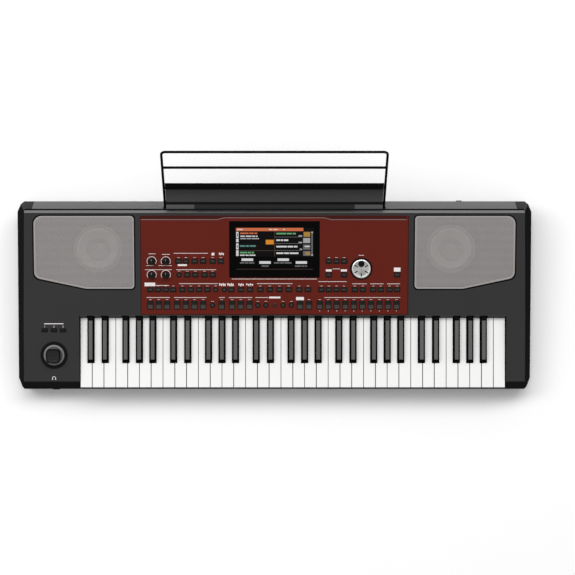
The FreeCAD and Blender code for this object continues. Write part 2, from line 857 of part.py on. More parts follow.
panel_hole = box("panel_hole", ("panel_ledge - panel_width / 2", "panel_margin + panel_ledge", "0 - 2 * overrun"),
                 ("panel_width - 2 * panel_ledge", "panel_depth - 2 * panel_ledge", "4 * overrun"))
lid = cut("top_panel_seat", lid, on_panel(group("panel_seat_cut", [panel_seat])))
lid = cut("top_panel_hole", lid, on_panel(group("panel_hole_cut", [panel_hole])))
for index, tool in enumerate(grille_cuts):
    lid = cut(f"top_grille_cut_{index}", lid, on_panel(tool))
assign_x = [f"0 - joystick_x + {step} * assign_pitch" for step in (-1, 0, 1)]


def assign_block(name, x, grow, base, height):
    size = (f"assign_width + 2 * ({grow})", f"assign_depth + 2 * ({grow})", height)
    return centred_box(name, (x, "assign_v"), base, size)


block_cuts = [assign_block(f"assign_hole_{index}", x, "button_gap", "0 - 2 * overrun", "4 * overrun")
              for index, x in enumerate(assign_x)]
block_cuts.append(rod("joystick_hole", ("0 - joystick_x", "joystick_v", "0 - 2 * overrun"),
                      "cup_radius + seat_gap", "4 * overrun"))
lid = cut("top_block_cut", lid, on_block(group("block_cuts", block_cuts)))
front_hole = rod("front_jack_hole", ("0 - joystick_x", "front_y - overrun", "front_socket_height"),
                 "jack_bushing_radius + seat_gap", "2 * overrun", "y")
lid = cut("top_front_cut", lid, front_hole)
node(cut("top_case", lid, screw_holes("post_holes")))

# Control panel: a plate with a window, button holes and bosses for its board

holes = []
bosses = []
for name, places in panel_buttons.items():
    for index, (shape, x, v) in enumerate(places):
        holes.append(button_block(f"{name}_hole_{index}", shape, x, v, "button_gap", "0 - overrun", "2 * overrun"))
for name, (x, v) in list(knob_places.items()) + [("dial", dial_place)]:
    holes.append(rod(f"{name}_hole", (x, v, "0 - overrun"), "shaft_radius + seat_gap", "2 * overrun"))
glass_v = "panel_margin + glass_front"
holes.append(box("glass_window", ("0 - glass_width / 2 - seat_gap", f"{glass_v} - seat_gap", "0 - overrun"),
                 ("glass_width + 2 * seat_gap", "glass_depth + 2 * seat_gap", "2 * overrun")))
for row, shares in PANEL_BOSS_SHARES.items():
    for index, share in enumerate(shares):
        bosses.append(rod(f"{row}_{index}", (panel_x(share), panel_v(row), "board_top"),
                          "panel_boss_radius", "panel_board_drop"))
plate = box("panel_plate_block", ("0 - panel_width / 2", "panel_margin", "0 - panel_under"),
            ("panel_width", "panel_depth", "panel_plate"))
plate = fuse("panel_with_bosses", [plate] + bosses)
node(on_panel(cut("control_panel", plate, group("panel_holes", holes))))

# Display: glass in the panel's window, with the module stuck to its back

glass = new_body("display_glass")
glass_points = rectangle("0 - glass_width / 2", "glass_width / 2", glass_v, f"{glass_v} + glass_depth")
glass_pad = pad(glass, outline(glass, "XY_Plane", glass_points, "0 - panel_under"), "panel_under + glass_proud")
round_corners(glass, glass_pad, glass_points[:2], "glass_corner")
node(on_panel(glass))
module_v = f"{glass_v} + (glass_depth - module_depth) / 2"
module = box("module_block", ("0 - module_width / 2", module_v, "0 - panel_under - module_thickness"),
             ("module_width", "module_depth", "module_thickness"))
node(on_panel(group("display_module", [module])))

# Panel board with a switch under each button, and a turning part under each knob

board_half = "(panel_width / 2 - panel_ledge - board_side_gap)"
board_front = "panel_margin + panel_ledge + board_side_gap"
board_base = "board_top - board_thickness"
board = box("panel_board_sheet", (f"0 - {board_half}", board_front, board_base),
            (f"2 * {board_half}", "panel_depth - 2 * (panel_ledge + board_side_gap)", "board_thickness"))
module_gap = box("module_gap", ("0 - module_width / 2 - module_room", f"{module_v} - module_room", board_base),
                 ("module_width + 2 * module_room", "panel_depth", "panel_board_drop"))
node(on_panel(cut("panel_board", board, module_gap)))


def push_switch(name, x, v, base):
    case = centred_box(name + "_case", (x, v), base, ("switch_side", "switch_side", "switch_height"))
    plunger = rod(name + "_plunger", (x, v, f"{base} + switch_height"), "plunger_radius", "plunger_height")
    return fuse(name, [case, plunger])


switches = []
for name, places in panel_buttons.items():
    for index, (shape, x, v) in enumerate(places):
        switches.append(push_switch(f"{name}_switch_{index}", x, v, "board_top"))
panel_switches = on_panel(group("panel_switches", switches))
assign_board = box("assign_board", ("0 - joystick_x - 2 * assign_pitch", "assign_v - assign_depth", board_base),
                   ("4 * assign_pitch", "2 * assign_depth", "board_thickness"))
assign_legs = [
    box(f"assign_leg_{index}", (x, "assign_v - assign_depth", "board_top"),
        ("assign_width / 4", "2 * assign_depth", "panel_board_drop - block_depth"))
    for index, x in enumerate(("0 - joystick_x - 2 * assign_pitch",
                               "0 - joystick_x + 2 * assign_pitch - assign_width / 4"))
]
assign_switch_items = [push_switch(f"assign_switch_{index}", x, "assign_v", "board_top")
                       for index, x in enumerate(assign_x)]
assign_carrier = fuse("assign_carrier", [assign_board] + assign_legs + assign_switch_items)
node(group("push_switches", [panel_switches, on_block(group("block_switches", [assign_carrier]))]))


def turning_part(name, place_on_panel):
    """A potentiometer or encoder with a blind bore for its shaft."""
    x, v = place_on_panel
    case = centred_box(name + "_case", (x, v), "board_top", ("pot_side", "pot_side", "pot_height"))
    bore = rod(name + "_bore", (x, v, "shaft_foot - seat_gap"), "shaft_radius + running_gap", "pot_height")
    return cut(name, case, bore)


turning_parts = [turning_part(name + "_pot", spot) for name, spot in knob_places.items()]
turning_parts.append(turning_part("dial_encoder", dial_place))
node(on_panel(group("control_pots", turning_parts)))


# Buttons, each a cap with a flange that keeps it under the panel

def button(name, shape, x, v):
    cap = button_block(name + "_cap", shape, x, v, "0", "button_foot", "button_top - button_foot")
    flange_base = "0 - panel_under - stop_gap - button_flange_thickness"
    flange = button_block(name + "_flange", shape, x, v, "button_flange", flange_base, "button_flange_thickness")
    return fuse(name, [cap, flange])


for name, places in panel_buttons.items():
    caps = [button(f"{name}_{index}", shape, x, v) for index, (shape, x, v) in enumerate(places)]
    node(on_panel(group(name, caps)))
assign_caps = []
for index, x in enumerate(assign_x):
    cap = assign_block(f"assign_cap_{index}", x, "0", "button_foot", "button_rise - button_foot")
    flange_base = "0 - block_depth - stop_gap - button_flange_thickness / 2"
    flange = assign_block(f"assign_flange_{index}", x, "button_flange", flange_base, "button_flange_thickness / 2")
    assign_caps.append(fuse(f"assign_button_{index}", [cap, flange]))
node(on_block(group("assign_switches", assign_caps)))

# Knobs and dial, each with its shaft

for name, (x, v) in knob_places.items():
    shaft = rod(name + "_shaft", (x, v, "shaft_foot"), "shaft_radius", "panel_proud + 2 * knob_lift - shaft_foot")
    grip = rod(name + "_grip", (x, v, "panel_proud + knob_lift"), "knob_radius", "knob_height")
    node(on_panel(fuse(name, [shaft, grip])))
x, v = dial_place
shaft = rod("dial_shaft", (x, v, "shaft_foot"), "shaft_radius", "panel_proud + 2 * knob_lift - shaft_foot")
disc = rod("dial_disc", (x, v, "panel_proud + knob_lift"), "dial_radius", "dial_height")
dimple = rod("dial_dimple", (x, f"{v} + dimple_offset", "panel_proud + knob_lift + dial_height - dimple_depth"),
             "dimple_radius", "overrun")
node(on_panel(cut("value_dial", fuse("dial_blank", [shaft, disc]), dimple)))

# Speakers: a box with a baffle on each side, and a double-cone driver on the baffle

boxes, baskets, magnets, cones = [], [], [], []
rim_inner = "grille_inner + grille_ledge - box_margin - wall"
rim_width = "grille_outer - grille_inner - 2 * (grille_ledge - box_margin - wall)"
rim_front = "grille_front + grille_ledge - box_margin - wall"
rim_depth = "grille_rear - grille_front - 2 * (grille_ledge - box_margin - wall)"
baffle_base = "0 - baffle_drop - baffle_thickness"
basket_foot = "0 - baffle_drop - basket_depth"
for hand, side in (("left", -1), ("right", 1)):
    edge = rim_inner if side > 0 else f"0 - ({rim_inner}) - ({rim_width})"
    tray = box(f"baffle_tray_{hand}", (edge, rim_front, baffle_base),
               (rim_width, rim_depth, "baffle_drop + baffle_thickness - top_depth"))
    hollow = box(f"baffle_hollow_{hand}", (f"{edge} + wall", f"{rim_front} + wall", "0 - baffle_drop"),
                 (f"{rim_width} - 2 * wall", f"{rim_depth} - 2 * wall", "baffle_drop"))
    deep_depth = f"{rim_front} + {rim_depth} - box_front"
    deep = box(f"box_deep_{hand}", (edge, "box_front", "0 - box_drop"),
               (rim_width, deep_depth, "box_drop - baffle_drop"))
    cavity = box(f"box_cavity_{hand}", (f"{edge} + wall", "box_front + wall", "wall - box_drop"),
                 (f"{rim_width} - 2 * wall", f"{deep_depth} - 2 * wall", f"box_drop - wall + {baffle_base}"))
    throat = rod(f"baffle_hole_{hand}", (f"{side} * speaker_x", "speaker_v", f"{baffle_base} - overrun"),
                 "basket_radius + seat_gap", "baffle_thickness + 2 * overrun")
    shell = cut(f"box_hollowed_{hand}", fuse(f"box_blank_{hand}", [tray, deep]),
                group(f"box_hollows_{hand}", [hollow, cavity]))
    boxes.append(cut(f"speaker_box_{hand}", shell, throat))
    basket = turned(f"basket_{hand}", (
        ("basket_radius - basket_wall", "0 - baffle_drop"), ("basket_radius", "0 - baffle_drop"),
        ("speaker_radius", "0 - baffle_drop"), ("speaker_radius", "flange_thickness - baffle_drop"),
        ("basket_radius - basket_wall", "flange_thickness - baffle_drop"),
        ("basket_throat + basket_wall", f"{basket_foot} + basket_wall"),
        ("coil_radius", f"{basket_foot} + basket_wall"), ("coil_radius", basket_foot),
        ("basket_throat + 2 * basket_wall", basket_foot),
    ))
    magnet = turned(f"magnet_{hand}", (
        ("0", f"{basket_foot} - magnet_height"), ("magnet_radius", f"{basket_foot} - magnet_height"),
        ("magnet_radius", basket_foot), ("coil_radius - cone_wall", basket_foot),
        ("coil_radius - cone_wall", f"{basket_foot} + basket_wall"), ("0", f"{basket_foot} + basket_wall"),
    ))
    rim = "(flange_thickness - baffle_drop)"
    cone = turned(f"cone_{hand}", (
        ("cone_radius + surround_width", rim), ("cone_radius + surround_width", f"{rim} + cone_wall"),
        ("cone_radius + surround_width / 2", f"{rim} + cone_wall + surround_rise"),
        ("cone_radius", f"{rim} + cone_wall"),
        ("coil_radius + cone_wall", f"{basket_foot} + 3 * basket_wall + 2 * cone_wall"),
        ("whizzer_radius", rim), ("whizzer_radius - cone_wall", rim),
        ("coil_radius - cone_wall", f"{basket_foot} + 3 * basket_wall + 3 * cone_wall"),
        ("0", f"{basket_foot} + 4 * basket_wall + 3 * cone_wall"),
        ("0", f"{basket_foot} + 2 * basket_wall"), ("coil_radius", f"{basket_foot} + 2 * basket_wall"),
        ("cone_radius", rim),
    ))
    for item, row in ((basket, baskets), (magnet, magnets), (cone, cones)):
        row.append(place(item, f"{side} * speaker_x", "speaker_v"))
node(on_panel(group("speaker_boxes", boxes)))
node(on_panel(group("speaker_baskets", baskets)))
node(on_panel(group("speaker_magnets", magnets)))
node(on_panel(group("speaker_cones", cones)))

# Keys: twelve notes, each repeated in every octave, all turning on one rod

NOTES = ("c", "c_sharp", "d", "d_sharp", "e", "f", "f_sharp", "g", "g_sharp", "a", "a_sharp", "b")
WHITE_NOTES = [name for name in NOTES if "sharp" not in name]
BLACK_SHIFT_SHARES = {"c_sharp": 0.026, "d_sharp": 0.064, "f_sharp": 0.068, "g_sharp": 0.045, "a_sharp": 0.022}


def slot_middle(slot):
    """The middle of one of the octave's twelve equal slots at the rear of the keys."""
    return f"({slot} + 1 / 2) * slot_pitch"


def black_middle(slot):
    """The middle of a black key's cap, which stands a little to the right of its slot."""
    return f"({slot_middle(slot)} + {BLACK_SHIFT_SHARES[NOTES[slot]]} * white_key_pitch)"


def white_edges(name, with_right_notch):
    """A white key's sides at the front, and between its black neighbours."""
    slot = NOTES.index(name)
    index = WHITE_NOTES.index(name)
    left = f"{index} * white_key_pitch + key_gap / 2"
    right = f"{index + 1} * white_key_pitch - key_gap / 2"
    reach = "(black_key_width / 2 + black_side_gap)"
    sharp_before = slot > 0 and "sharp" in NOTES[slot - 1]
    sharp_after = with_right_notch and slot < len(NOTES) - 1 and "sharp" in NOTES[slot + 1]
    tail_left = f"{black_middle(slot - 1)} + {reach}" if sharp_before else left
    tail_right = f"{black_middle(slot + 1)} - {reach}" if sharp_after else right
    return left, right, tail_left, tail_right


def bore_for_rod(body):
    through_bore(body, ring_outline(body, "YZ_Plane", "pivot_y", "pivot_height", "pivot_radius + running_gap"))


def white_key(label, name, with_right_notch=True):
    left, right, tail_left, tail_right = white_edges(name, with_right_notch)
    notch = "black_key_front - black_side_gap"
    tail_end = "pivot_y + key_tail"
    lever_left = f"{slot_middle(NOTES.index(name))} - lever_width / 2"
    lever_right = f"{slot_middle(NOTES.index(name))} + lever_width / 2"
    left_step = ((tail_left, notch), (left, notch)) if tail_left != left else ()
    right_step = ((right, notch), (tail_right, notch)) if tail_right != right else ()
    points = (
        (left, "key_front"), (right, "key_front"), *right_step,
        (tail_right, "lever_start"), (lever_right, "lever_start"), (lever_right, tail_end),
        (lever_left, tail_end), (lever_left, "lever_start"), (tail_left, "lever_start"), *left_step,
    )
    hollow_left = f"{left} + key_side"
    hollow_right = f"{right} - key_side"
    hollow_tail_left = f"{tail_left} + key_side"
    hollow_tail_right = f"{tail_right} - key_side"
    hollow_notch = f"{notch} - key_side"
    hollow_left_step = ((hollow_tail_left, hollow_notch), (hollow_left, hollow_notch)) if left_step else ()
    hollow_right_step = ((hollow_right, hollow_notch), (hollow_tail_right, hollow_notch)) if right_step else ()
    hollow_front = "key_front + key_lip_depth"
    hollow_rear = "lever_start - key_side"
    hollow = (
        (hollow_left, hollow_front), (hollow_right, hollow_front), *hollow_right_step,
        (hollow_tail_right, hollow_rear), (hollow_tail_left, hollow_rear), *hollow_left_step,
    )
    body = new_body(label)
    pad(body, outline(body, "XY_Plane", points, "key_bottom"), "key_height")
    pocket(body, outline(body, "XY_Plane", hollow, "key_bottom"), "key_height - key_skin")
    lip = rectangle(left, right, "key_front", "key_front + key_lip_depth")
    pad(body, outline(body, "XY_Plane", lip, "key_bottom - key_lip_drop"), "key_lip_drop")
    bore_for_rod(body)
    return body


def black_key(label, name):
    slot = NOTES.index(name)
    left, right = (f"{black_middle(slot)} {sign} black_key_width / 2" for sign in "-+")
    top_left, top_right = (f"{black_middle(slot)} {sign} black_top_width / 2" for sign in "-+")
    lever_left, lever_right = (f"{slot_middle(slot)} {sign} lever_width / 2" for sign in "-+")
    foot = rectangle(left, right, "black_key_front", "black_key_rear")
    crown = rectangle(top_left, top_right, "black_key_front + black_front_slope", "black_key_rear")
    hollow = rectangle(f"{left} + key_side", f"{right} - key_side",
                       "black_key_front + key_side", "black_key_rear - key_side")
    lever = rectangle(lever_left, lever_right, "black_key_rear - key_side", "pivot_y + key_tail")
    body = new_body(label)
    skirt = "key_bottom + black_skirt_rise"
    pad(body, outline(body, "XY_Plane", foot, skirt), "key_height - black_skirt_rise")
    taper = body.newObject("PartDesign::AdditiveLoft", label + "_taper")
    taper.Profile = outline(body, "XY_Plane", foot, "key_top")
    taper.Sections = [outline(body, "XY_Plane", crown, "key_top + black_key_rise")]
    taper.Ruled = True
    pocket(body, outline(body, "XY_Plane", hollow, skirt), "key_height - black_skirt_rise")
    pad(body, outline(body, "XY_Plane", lever, "key_bottom"), "key_height")
    bore_for_rod(body)
    return body


def repeat_by_octave(body):
    pattern = body.newObject("PartDesign::LinearPattern", body.Name + "_octaves")
    pattern.TransformMode = "Whole shape"
    pattern.Direction = (origin_feature(body, "X_Axis"), [""])
    bind(pattern, "Length", "octave_width * (octaves - 1)")
    bind(pattern, "Occurrences", "octaves")
    body.Tip = pattern
    return body


for name in NOTES:
    label = "keys_" + name
    if name == "c":
        run = repeat_by_octave(white_key("key_c_run", "c"))
        highest = place(white_key("key_c_highest", "c", False), "octaves * octave_width")
        keys = group(label, [run, highest])
    elif "sharp" in name:
        keys = repeat_by_octave(black_key(label, name))
    else:
        keys = repeat_by_octave(white_key(label, name))
    node(place(keys, "keyboard_left", "front_y"))

# Key frame: plate, front rail, contact rail, rear rail and ribs that hold the rod

frame_left = "keyboard_left - frame_margin"
frame_width = "keyboard_width + 2 * frame_margin"
rear_felt_top = "key_bottom - running_gap"
frame_base = "floor_top + frame_plate"


def frame_rail(name, y, depth, top):
    return box(name, (frame_left, f"front_y + {y}", "floor_top"), (frame_width, depth, f"{top} - floor_top"))


frame_items = [
    frame_rail("frame_plate_sheet", "front_rail_y", "rear_rail_y + rear_rail_depth - front_rail_y", frame_base),
    frame_rail("frame_front_rail", "front_rail_y", "front_rail_depth", "front_felt_top - felt_thickness"),
    frame_rail("frame_contact_rail", "contact_y", "contact_depth", "contact_board_top - board_thickness"),
    frame_rail("frame_felt_rail", "pivot_y + felt_setback", "key_tail - felt_setback",
               f"{rear_felt_top} - felt_thickness"),
    frame_rail("frame_rear_rail", "rear_rail_y", "rear_rail_depth", "spring_base"),
]
rib_places = ["keyboard_left + keyboard_width"]
for index in range(DRIVING["octaves"] + 1):
    rib_places.append(f"keyboard_left + {index} * octave_width")
for index, x in enumerate(rib_places):
    corner = (f"{x} - rib_thickness / 2", "front_y + pivot_y - rib_reach", "floor_top")
    size = ("rib_thickness", "rear_rail_y - pivot_y + rib_reach + rear_rail_depth", "spring_base - floor_top")
    frame_items.append(box(f"frame_rib_{index}", corner, size))
rod_base = ("keyboard_left - frame_margin", "front_y + pivot_y", "pivot_height")
rod_room = rod("pivot_room", rod_base, "pivot_radius + running_gap", frame_width, "x")
frame_body = cut("frame_bored", fuse("frame_blank", frame_items), rod_room)
node(cut("keybed_frame", frame_body, screw_holes("frame_holes")))
node(group("key_pivot_rod", [rod("pivot_rod", rod_base, "pivot_radius", frame_width, "x")]))
front_felt = box("front_felt", (frame_left, "front_y + front_rail_y", "front_felt_top - felt_thickness"),
                 (frame_width, "front_rail_depth", "felt_thickness"))
rear_felts = []
for index in range(DRIVING["octaves"]):
    corner = (f"keyboard_left + {index} * octave_width + rib_thickness", "front_y + pivot_y + felt_setback",
              f"{rear_felt_top} - felt_thickness")
    size = ("octave_width - 2 * rib_thickness", "key_tail - felt_setback", "felt_thickness")
    rear_felts.append(box(f"rear_felt_{index}", corner, size))
corner = ("keyboard_left + octaves * octave_width + rib_thickness", "front_y + pivot_y + felt_setback",
          f"{rear_felt_top} - felt_thickness")
size = ("white_key_pitch - 2 * rib_thickness", "key_tail - felt_setback", "felt_thickness")
rear_felts.append(box("rear_felt_last", corner, size))
node(group("key_felts", [front_felt] + rear_felts))

# Return springs: one flat steel comb with a finger over the tail of each key

finger_slots = [f"{octave} * octave_width + {slot_middle(slot)}"
                for octave in range(DRIVING["octaves"]) for slot in range(len(NOTES))]
finger_slots.append(f"octaves * octave_width + {slot_middle(0)}")
comb = [box("spring_spine", (frame_left, "front_y + rear_rail_y", "spring_base"),
            (frame_width, "rear_rail_depth", "spring_thickness"))]
for index, x in enumerate(finger_slots):
    corner = (f"keyboard_left + {x} - spring_finger_width / 2", "front_y + pivot_y + felt_setback", "spring_base")
    size = ("spring_finger_width", "rear_rail_y - pivot_y - felt_setback + rear_rail_depth / 2", "spring_thickness")
    comb.append(box(f"spring_finger_{index}", corner, size))
node(fuse("key_spring_comb", comb))

# Contacts: a long board on the frame, and a rubber strip with a dome for each key

node(group("contact_board", [box("contact_sheet", (frame_left, "front_y + contact_y",
                                                   "contact_board_top - board_thickness"),
                                 (frame_width, "contact_depth", "board_thickness"))]))
strip = [box("contact_strip_base", (frame_left, "front_y + contact_y", "contact_board_top"),
             (frame_width, "contact_depth", "contact_base"))]
for index, x in enumerate(finger_slots):
    base = (f"keyboard_left + {x}", "front_y + contact_y + contact_depth / 2", "contact_board_top")
    strip.append(rod(f"contact_dome_{index}", base, "contact_dome_radius", "contact_base + contact_dome_height"))
node(fuse("contact_strip", strip))

# Joystick: a cup with two bearing posts, a gimbal ring and a lever with dome and cap, square to the block

stick = ("0 - joystick_x", "joystick_v")


def stick_rod(name, base, radius, height):
    return rod(name, (*stick, base), radius, height)


def stick_cross(name, axis, half_length, radius):
    """A rod through the joystick's pivot, across its axis."""
    x, v = stick
    if axis == "x":
        return rod(name, (f"{x} - ({half_length})", v, "pivot_w"), radius, f"2 * ({half_length})", "x")
    return rod(name, (x, f"{v} - ({half_length})", "pivot_w"), radius, f"2 * ({half_length})", "y")


bezel = stick_rod("stick_bezel", "0", "bezel_radius", "bezel_rise")
cup = stick_rod("stick_cup", "0 - cup_drop", "cup_radius", "cup_drop + bezel_rise / 2")
cup_hollow = stick_rod("stick_cup_hollow", "cup_wall - cup_drop", "cup_radius - cup_wall", "cup_drop - 2 * cup_wall")
dome_hole = stick_rod("stick_dome_hole", "pivot_w", "dome_radius + dome_gap", "stick_pivot_drop + overrun")
cup_body = cut("stick_cup_open", cut("stick_cup_hollowed", fuse("stick_cup_blank", [bezel, cup]), cup_hollow),
               dome_hole)
bearings = []
for side in (-1, 1):
    x = f"{stick[0]} + {side} * (bearing_start + trunnion_reach) / 2"
    size = ("trunnion_reach - bearing_start", "bearing_width", "cup_drop - stick_pivot_drop + bearing_rise")
    bearings.append(centred_box(f"stick_bearing_{side}", (x, stick[1]), "0 - cup_drop", size))
cup_body = fuse("stick_cup_posts", [cup_body] + bearings)
bearing_bore = stick_cross("stick_bearing_bore", "x", "trunnion_reach", "trunnion_radius + running_gap")
node(on_block(cut("joystick_housing", cup_body, bearing_bore)))
gimbal_base = "pivot_w - gimbal_height / 2"
gimbal = fuse("gimbal_blank", [
    stick_rod("gimbal_ring", gimbal_base, "gimbal_radius", "gimbal_height"),
    stick_cross("gimbal_trunnions", "x", "trunnion_reach", "trunnion_radius"),
])
gimbal = cut("gimbal_hollowed", gimbal, stick_rod("gimbal_room", gimbal_base, "gimbal_bore", "gimbal_height"))
gimbal_bore = stick_cross("gimbal_bore_rod", "y", "gimbal_radius + overrun", "trunnion_radius + running_gap")
node(on_block(cut("joystick_gimbal", gimbal, gimbal_bore)))


def dome_ball(name, radius):
    ball = doc.addObject("Part::Sphere", name)
    bind(ball, "Radius", radius)
    bind(ball, "Angle1", "dome_edge_angle")
    return place(ball, *stick, "pivot_w")


dome_room = doc.addObject("Part::Sphere", "stick_dome_room")
bind(dome_room, "Radius", "dome_inner")
place(dome_room, *stick, "pivot_w")
dome = cut("stick_dome", dome_ball("stick_dome_ball", "dome_radius"), dome_room)
cap = new_body("stick_cap")
cap_points = rectangle("0 - joystick_x - cap_side / 2", "cap_side / 2 - joystick_x",
                       "joystick_v - cap_side / 2", "joystick_v + cap_side / 2")
cap_pad = pad(cap, outline(cap, "XY_Plane", cap_points, "cap_base"), "cap_thickness")
round_corners(cap, cap_pad, cap_points, "cap_corner")
hub = stick_rod("stick_hub", "pivot_w - hub_drop", "hub_radius", "cap_base - pivot_w + hub_drop + cap_thickness / 2")
lever_pin = stick_cross("stick_lever_pin", "y", "gimbal_radius", "trunnion_radius")
node(on_block(fuse("joystick_lever", [dome, cap, hub, lever_pin])))


# Boards on the floor of the case

def floor_board(name, middle, width, parts):
    """A board on its standoffs, with the larger parts that stand on it."""
    base = "floor_top + board_lift"
    sheet_item = box(name + "_sheet", (f"{middle} - {width} / 2", "front_y + inner_board_y", base),
                     (width, "main_board_depth", "board_thickness"))
    items = [sheet_item]
    for index, (x_share, y_share, width_share, depth_share, height) in enumerate(parts):
        corner = (f"{middle} + {x_share} * {width}", f"front_y + inner_board_y + {y_share} * main_board_depth", base)
        size = (f"{width_share} * {width}", f"{depth_share} * main_board_depth", f"board_thickness + {height}")
        items.append(box(f"{name}_part_{index}", corner, size))
    return fuse(name, items)


MAIN_PART_SHARES = (
    (-0.35, 0.30, 0.12, 0.42, "chip_height"), (-0.10, 0.35, 0.09, 0.30, "chip_height"),
    (0.08, 0.20, 0.06, 0.35, "chip_height"), (0.25, 0.25, 0.16, 0.50, "coil_height / 2"),
)
SUPPLY_PART_SHARES = ((-0.35, 0.25, 0.34, 0.45, "coil_height"), (0.15, 0.20, 0.20, 0.60, "coil_height / 2"))
node(floor_board("main_board", "0", "main_board_width", MAIN_PART_SHARES))
node(floor_board("power_supply", "supply_x", "supply_width", SUPPLY_PART_SHARES))

# Rear panel: a bent plate under the ridge, with holes for the sockets and the stand

rear_top_y = "(ridge_back_y + 2 * seat_gap)"
rear_half = "(half_width - rear_panel_margin - seat_gap)"
rear_points = (
    (rear_top_y, f"ridge_back_height - ({rear_top_y} - ridge_back_y) * rear_fall"),
    ("case_depth", "rear_shoulder_height"), ("case_depth", "floor_top"), ("inner_rear", "floor_top"),
    ("inner_rear", "rear_shoulder_height"),
    (rear_top_y, f"ridge_back_height - ({rear_top_y} - ridge_back_y + wall) * rear_fall"),
)
rear_plate = place(prism("rear_plate", "YZ_Plane", rear_points, f"0 - {rear_half}", f"2 * {rear_half}"), "", "front_y")
rear_face = "front_y + case_depth"


def rear_hole(name, share, radius):
    base = (f"{share} * case_width", f"{rear_face} - wall - overrun", "socket_height")
    return rod(name, base, f"{radius} + seat_gap", "wall + 2 * overrun", "y")


def rear_slot(name, share, width, height):
    corner = (f"{share} * case_width - ({width}) / 2 - seat_gap", f"{rear_face} - wall - overrun",
              f"socket_height - ({height}) / 2 - seat_gap")
    return box(name, corner, (f"{width} + 2 * seat_gap", "wall + 2 * overrun", f"{height} + 2 * seat_gap"))


SQUARE_PORT = ("square_port_width + 2 * port_wall", "square_port_height + 2 * port_wall")
FLAT_PORT = ("flat_port_width + 2 * port_wall", "flat_port_height + 2 * port_wall")
rear_cuts = [rear_hole(f"jack_hole_{index}", share, "jack_bushing_radius") for index, share in enumerate(JACK_SHARES)]
rear_cuts += [rear_hole(f"din_hole_{index}", share, "din_radius") for index, share in enumerate(DIN_SHARES)]
rear_cuts.append(rear_slot("square_port_slot", SQUARE_PORT_SHARE, *SQUARE_PORT))
rear_cuts.append(rear_slot("flat_port_slot", FLAT_PORT_SHARE, *FLAT_PORT))
rear_cuts.append(rear_slot("inlet_slot", INLET_SHARE, "inlet_width", "inlet_height"))
rear_cuts.append(rear_slot("power_slot", POWER_SHARE, "power_button_side + 2 * seat_gap",
                           "power_button_side + 2 * seat_gap"))
stand_sides = ("stand_width / 2", "0 - stand_width / 2")
stand_w = "0 - stand_plate_thickness / 2"


def stand_rod(name, x, low, high, radius):
    """A rod along the stand's slope at x, between two places on it."""
    return rod(name, (x, low, stand_w), radius, f"{high} - ({low})", "y")


tube_low = "0 - stand_leg - stand_tube_floor"
tube_cuts = [stand_rod(f"tube_hole_{index}", x, tube_low, "0", "stand_tube_radius + running_gap")
             for index, x in enumerate(stand_sides)]
rear_plate = cut("rear_plate_socketed", rear_plate, group("rear_cuts", rear_cuts))
node(cut("rear_panel", rear_plate, on_stand(group("tube_cuts", tube_cuts))))


# Sockets

def jack(name, x, face, away, height):
    """A jack socket: a body against the wall's inner face, with a bushing out through it."""
    inner = f"{face} - {away} * wall"
    back = inner if away < 0 else f"{inner} - jack_depth"
    case = box(name + "_case", (f"{x} - jack_side / 2", back, f"{height} - jack_side / 2"),
               ("jack_side", "jack_depth", "jack_side"))
    rise = "jack_bushing_rise" if away > 0 else "0 - seat_gap"
    low = inner if away > 0 else f"{face} - ({rise})"
    bushing = rod(name + "_bushing", (x, low, height), "jack_bushing_radius", f"wall + {rise}", "y")
    mouth = f"{face} + {rise} - jack_bore_depth" if away > 0 else f"{face} - ({rise})"
    bore = rod(name + "_bore", (x, mouth, height), "jack_bore_radius", "jack_bore_depth", "y")
    return cut(name, fuse(name + "_blank", [case, bushing]), bore)


jacks = [jack(f"jack_{index}", f"{share} * case_width", rear_face, 1, "socket_height")
         for index, share in enumerate(JACK_SHARES)]
jacks.append(jack("headphone_jack", "0 - joystick_x", "front_y", -1, "front_socket_height"))
node(group("phone_jacks", jacks))

data_sockets = []
for index, share in enumerate(DIN_SHARES):
    x = f"{share} * case_width"
    case = box(f"din_case_{index}", (f"{x} - din_side / 2", f"{rear_face} - wall - din_depth",
                                     "socket_height - din_side / 2"), ("din_side", "din_depth", "din_side"))
    ring = rod(f"din_ring_{index}", (x, f"{rear_face} - wall", "socket_height"), "din_radius", "wall", "y")
    bore = rod(f"din_bore_{index}", (x, f"{rear_face} - din_bore_depth", "socket_height"),
               "din_bore_radius", "din_bore_depth", "y")
    data_sockets.append(cut(f"din_socket_{index}", fuse(f"din_blank_{index}", [case, ring]), bore))


def box_socket(name, share, outer, wall, depth, cavity_depth):
    """A rectangular socket, flush with the rear panel, with a cavity that opens to the rear."""
    x = f"{share} * case_width"
    width, height = outer
    shell = box(name + "_shell", (f"{x} - ({width}) / 2", f"{rear_face} - {depth}", f"socket_height - ({height}) / 2"),
                (width, depth, height))
    cavity = box(name + "_cavity", (f"{x} - ({width}) / 2 + {wall}", f"{rear_face} - {cavity_depth}",
                                    f"socket_height - ({height}) / 2 + {wall}"),
                 (f"{width} - 2 * {wall}", f"{cavity_depth} + overrun", f"{height} - 2 * {wall}"))
    return cut(name, shell, cavity)


data_sockets.append(box_socket("square_port", SQUARE_PORT_SHARE, SQUARE_PORT, "port_wall", "port_depth",
                               "port_cavity_depth"))
data_sockets.append(box_socket("flat_port", FLAT_PORT_SHARE, FLAT_PORT, "port_wall", "port_depth",
                               "port_cavity_depth"))
node(group("data_sockets", data_sockets))

# Mains inlet with the power switch beside it, and the power button

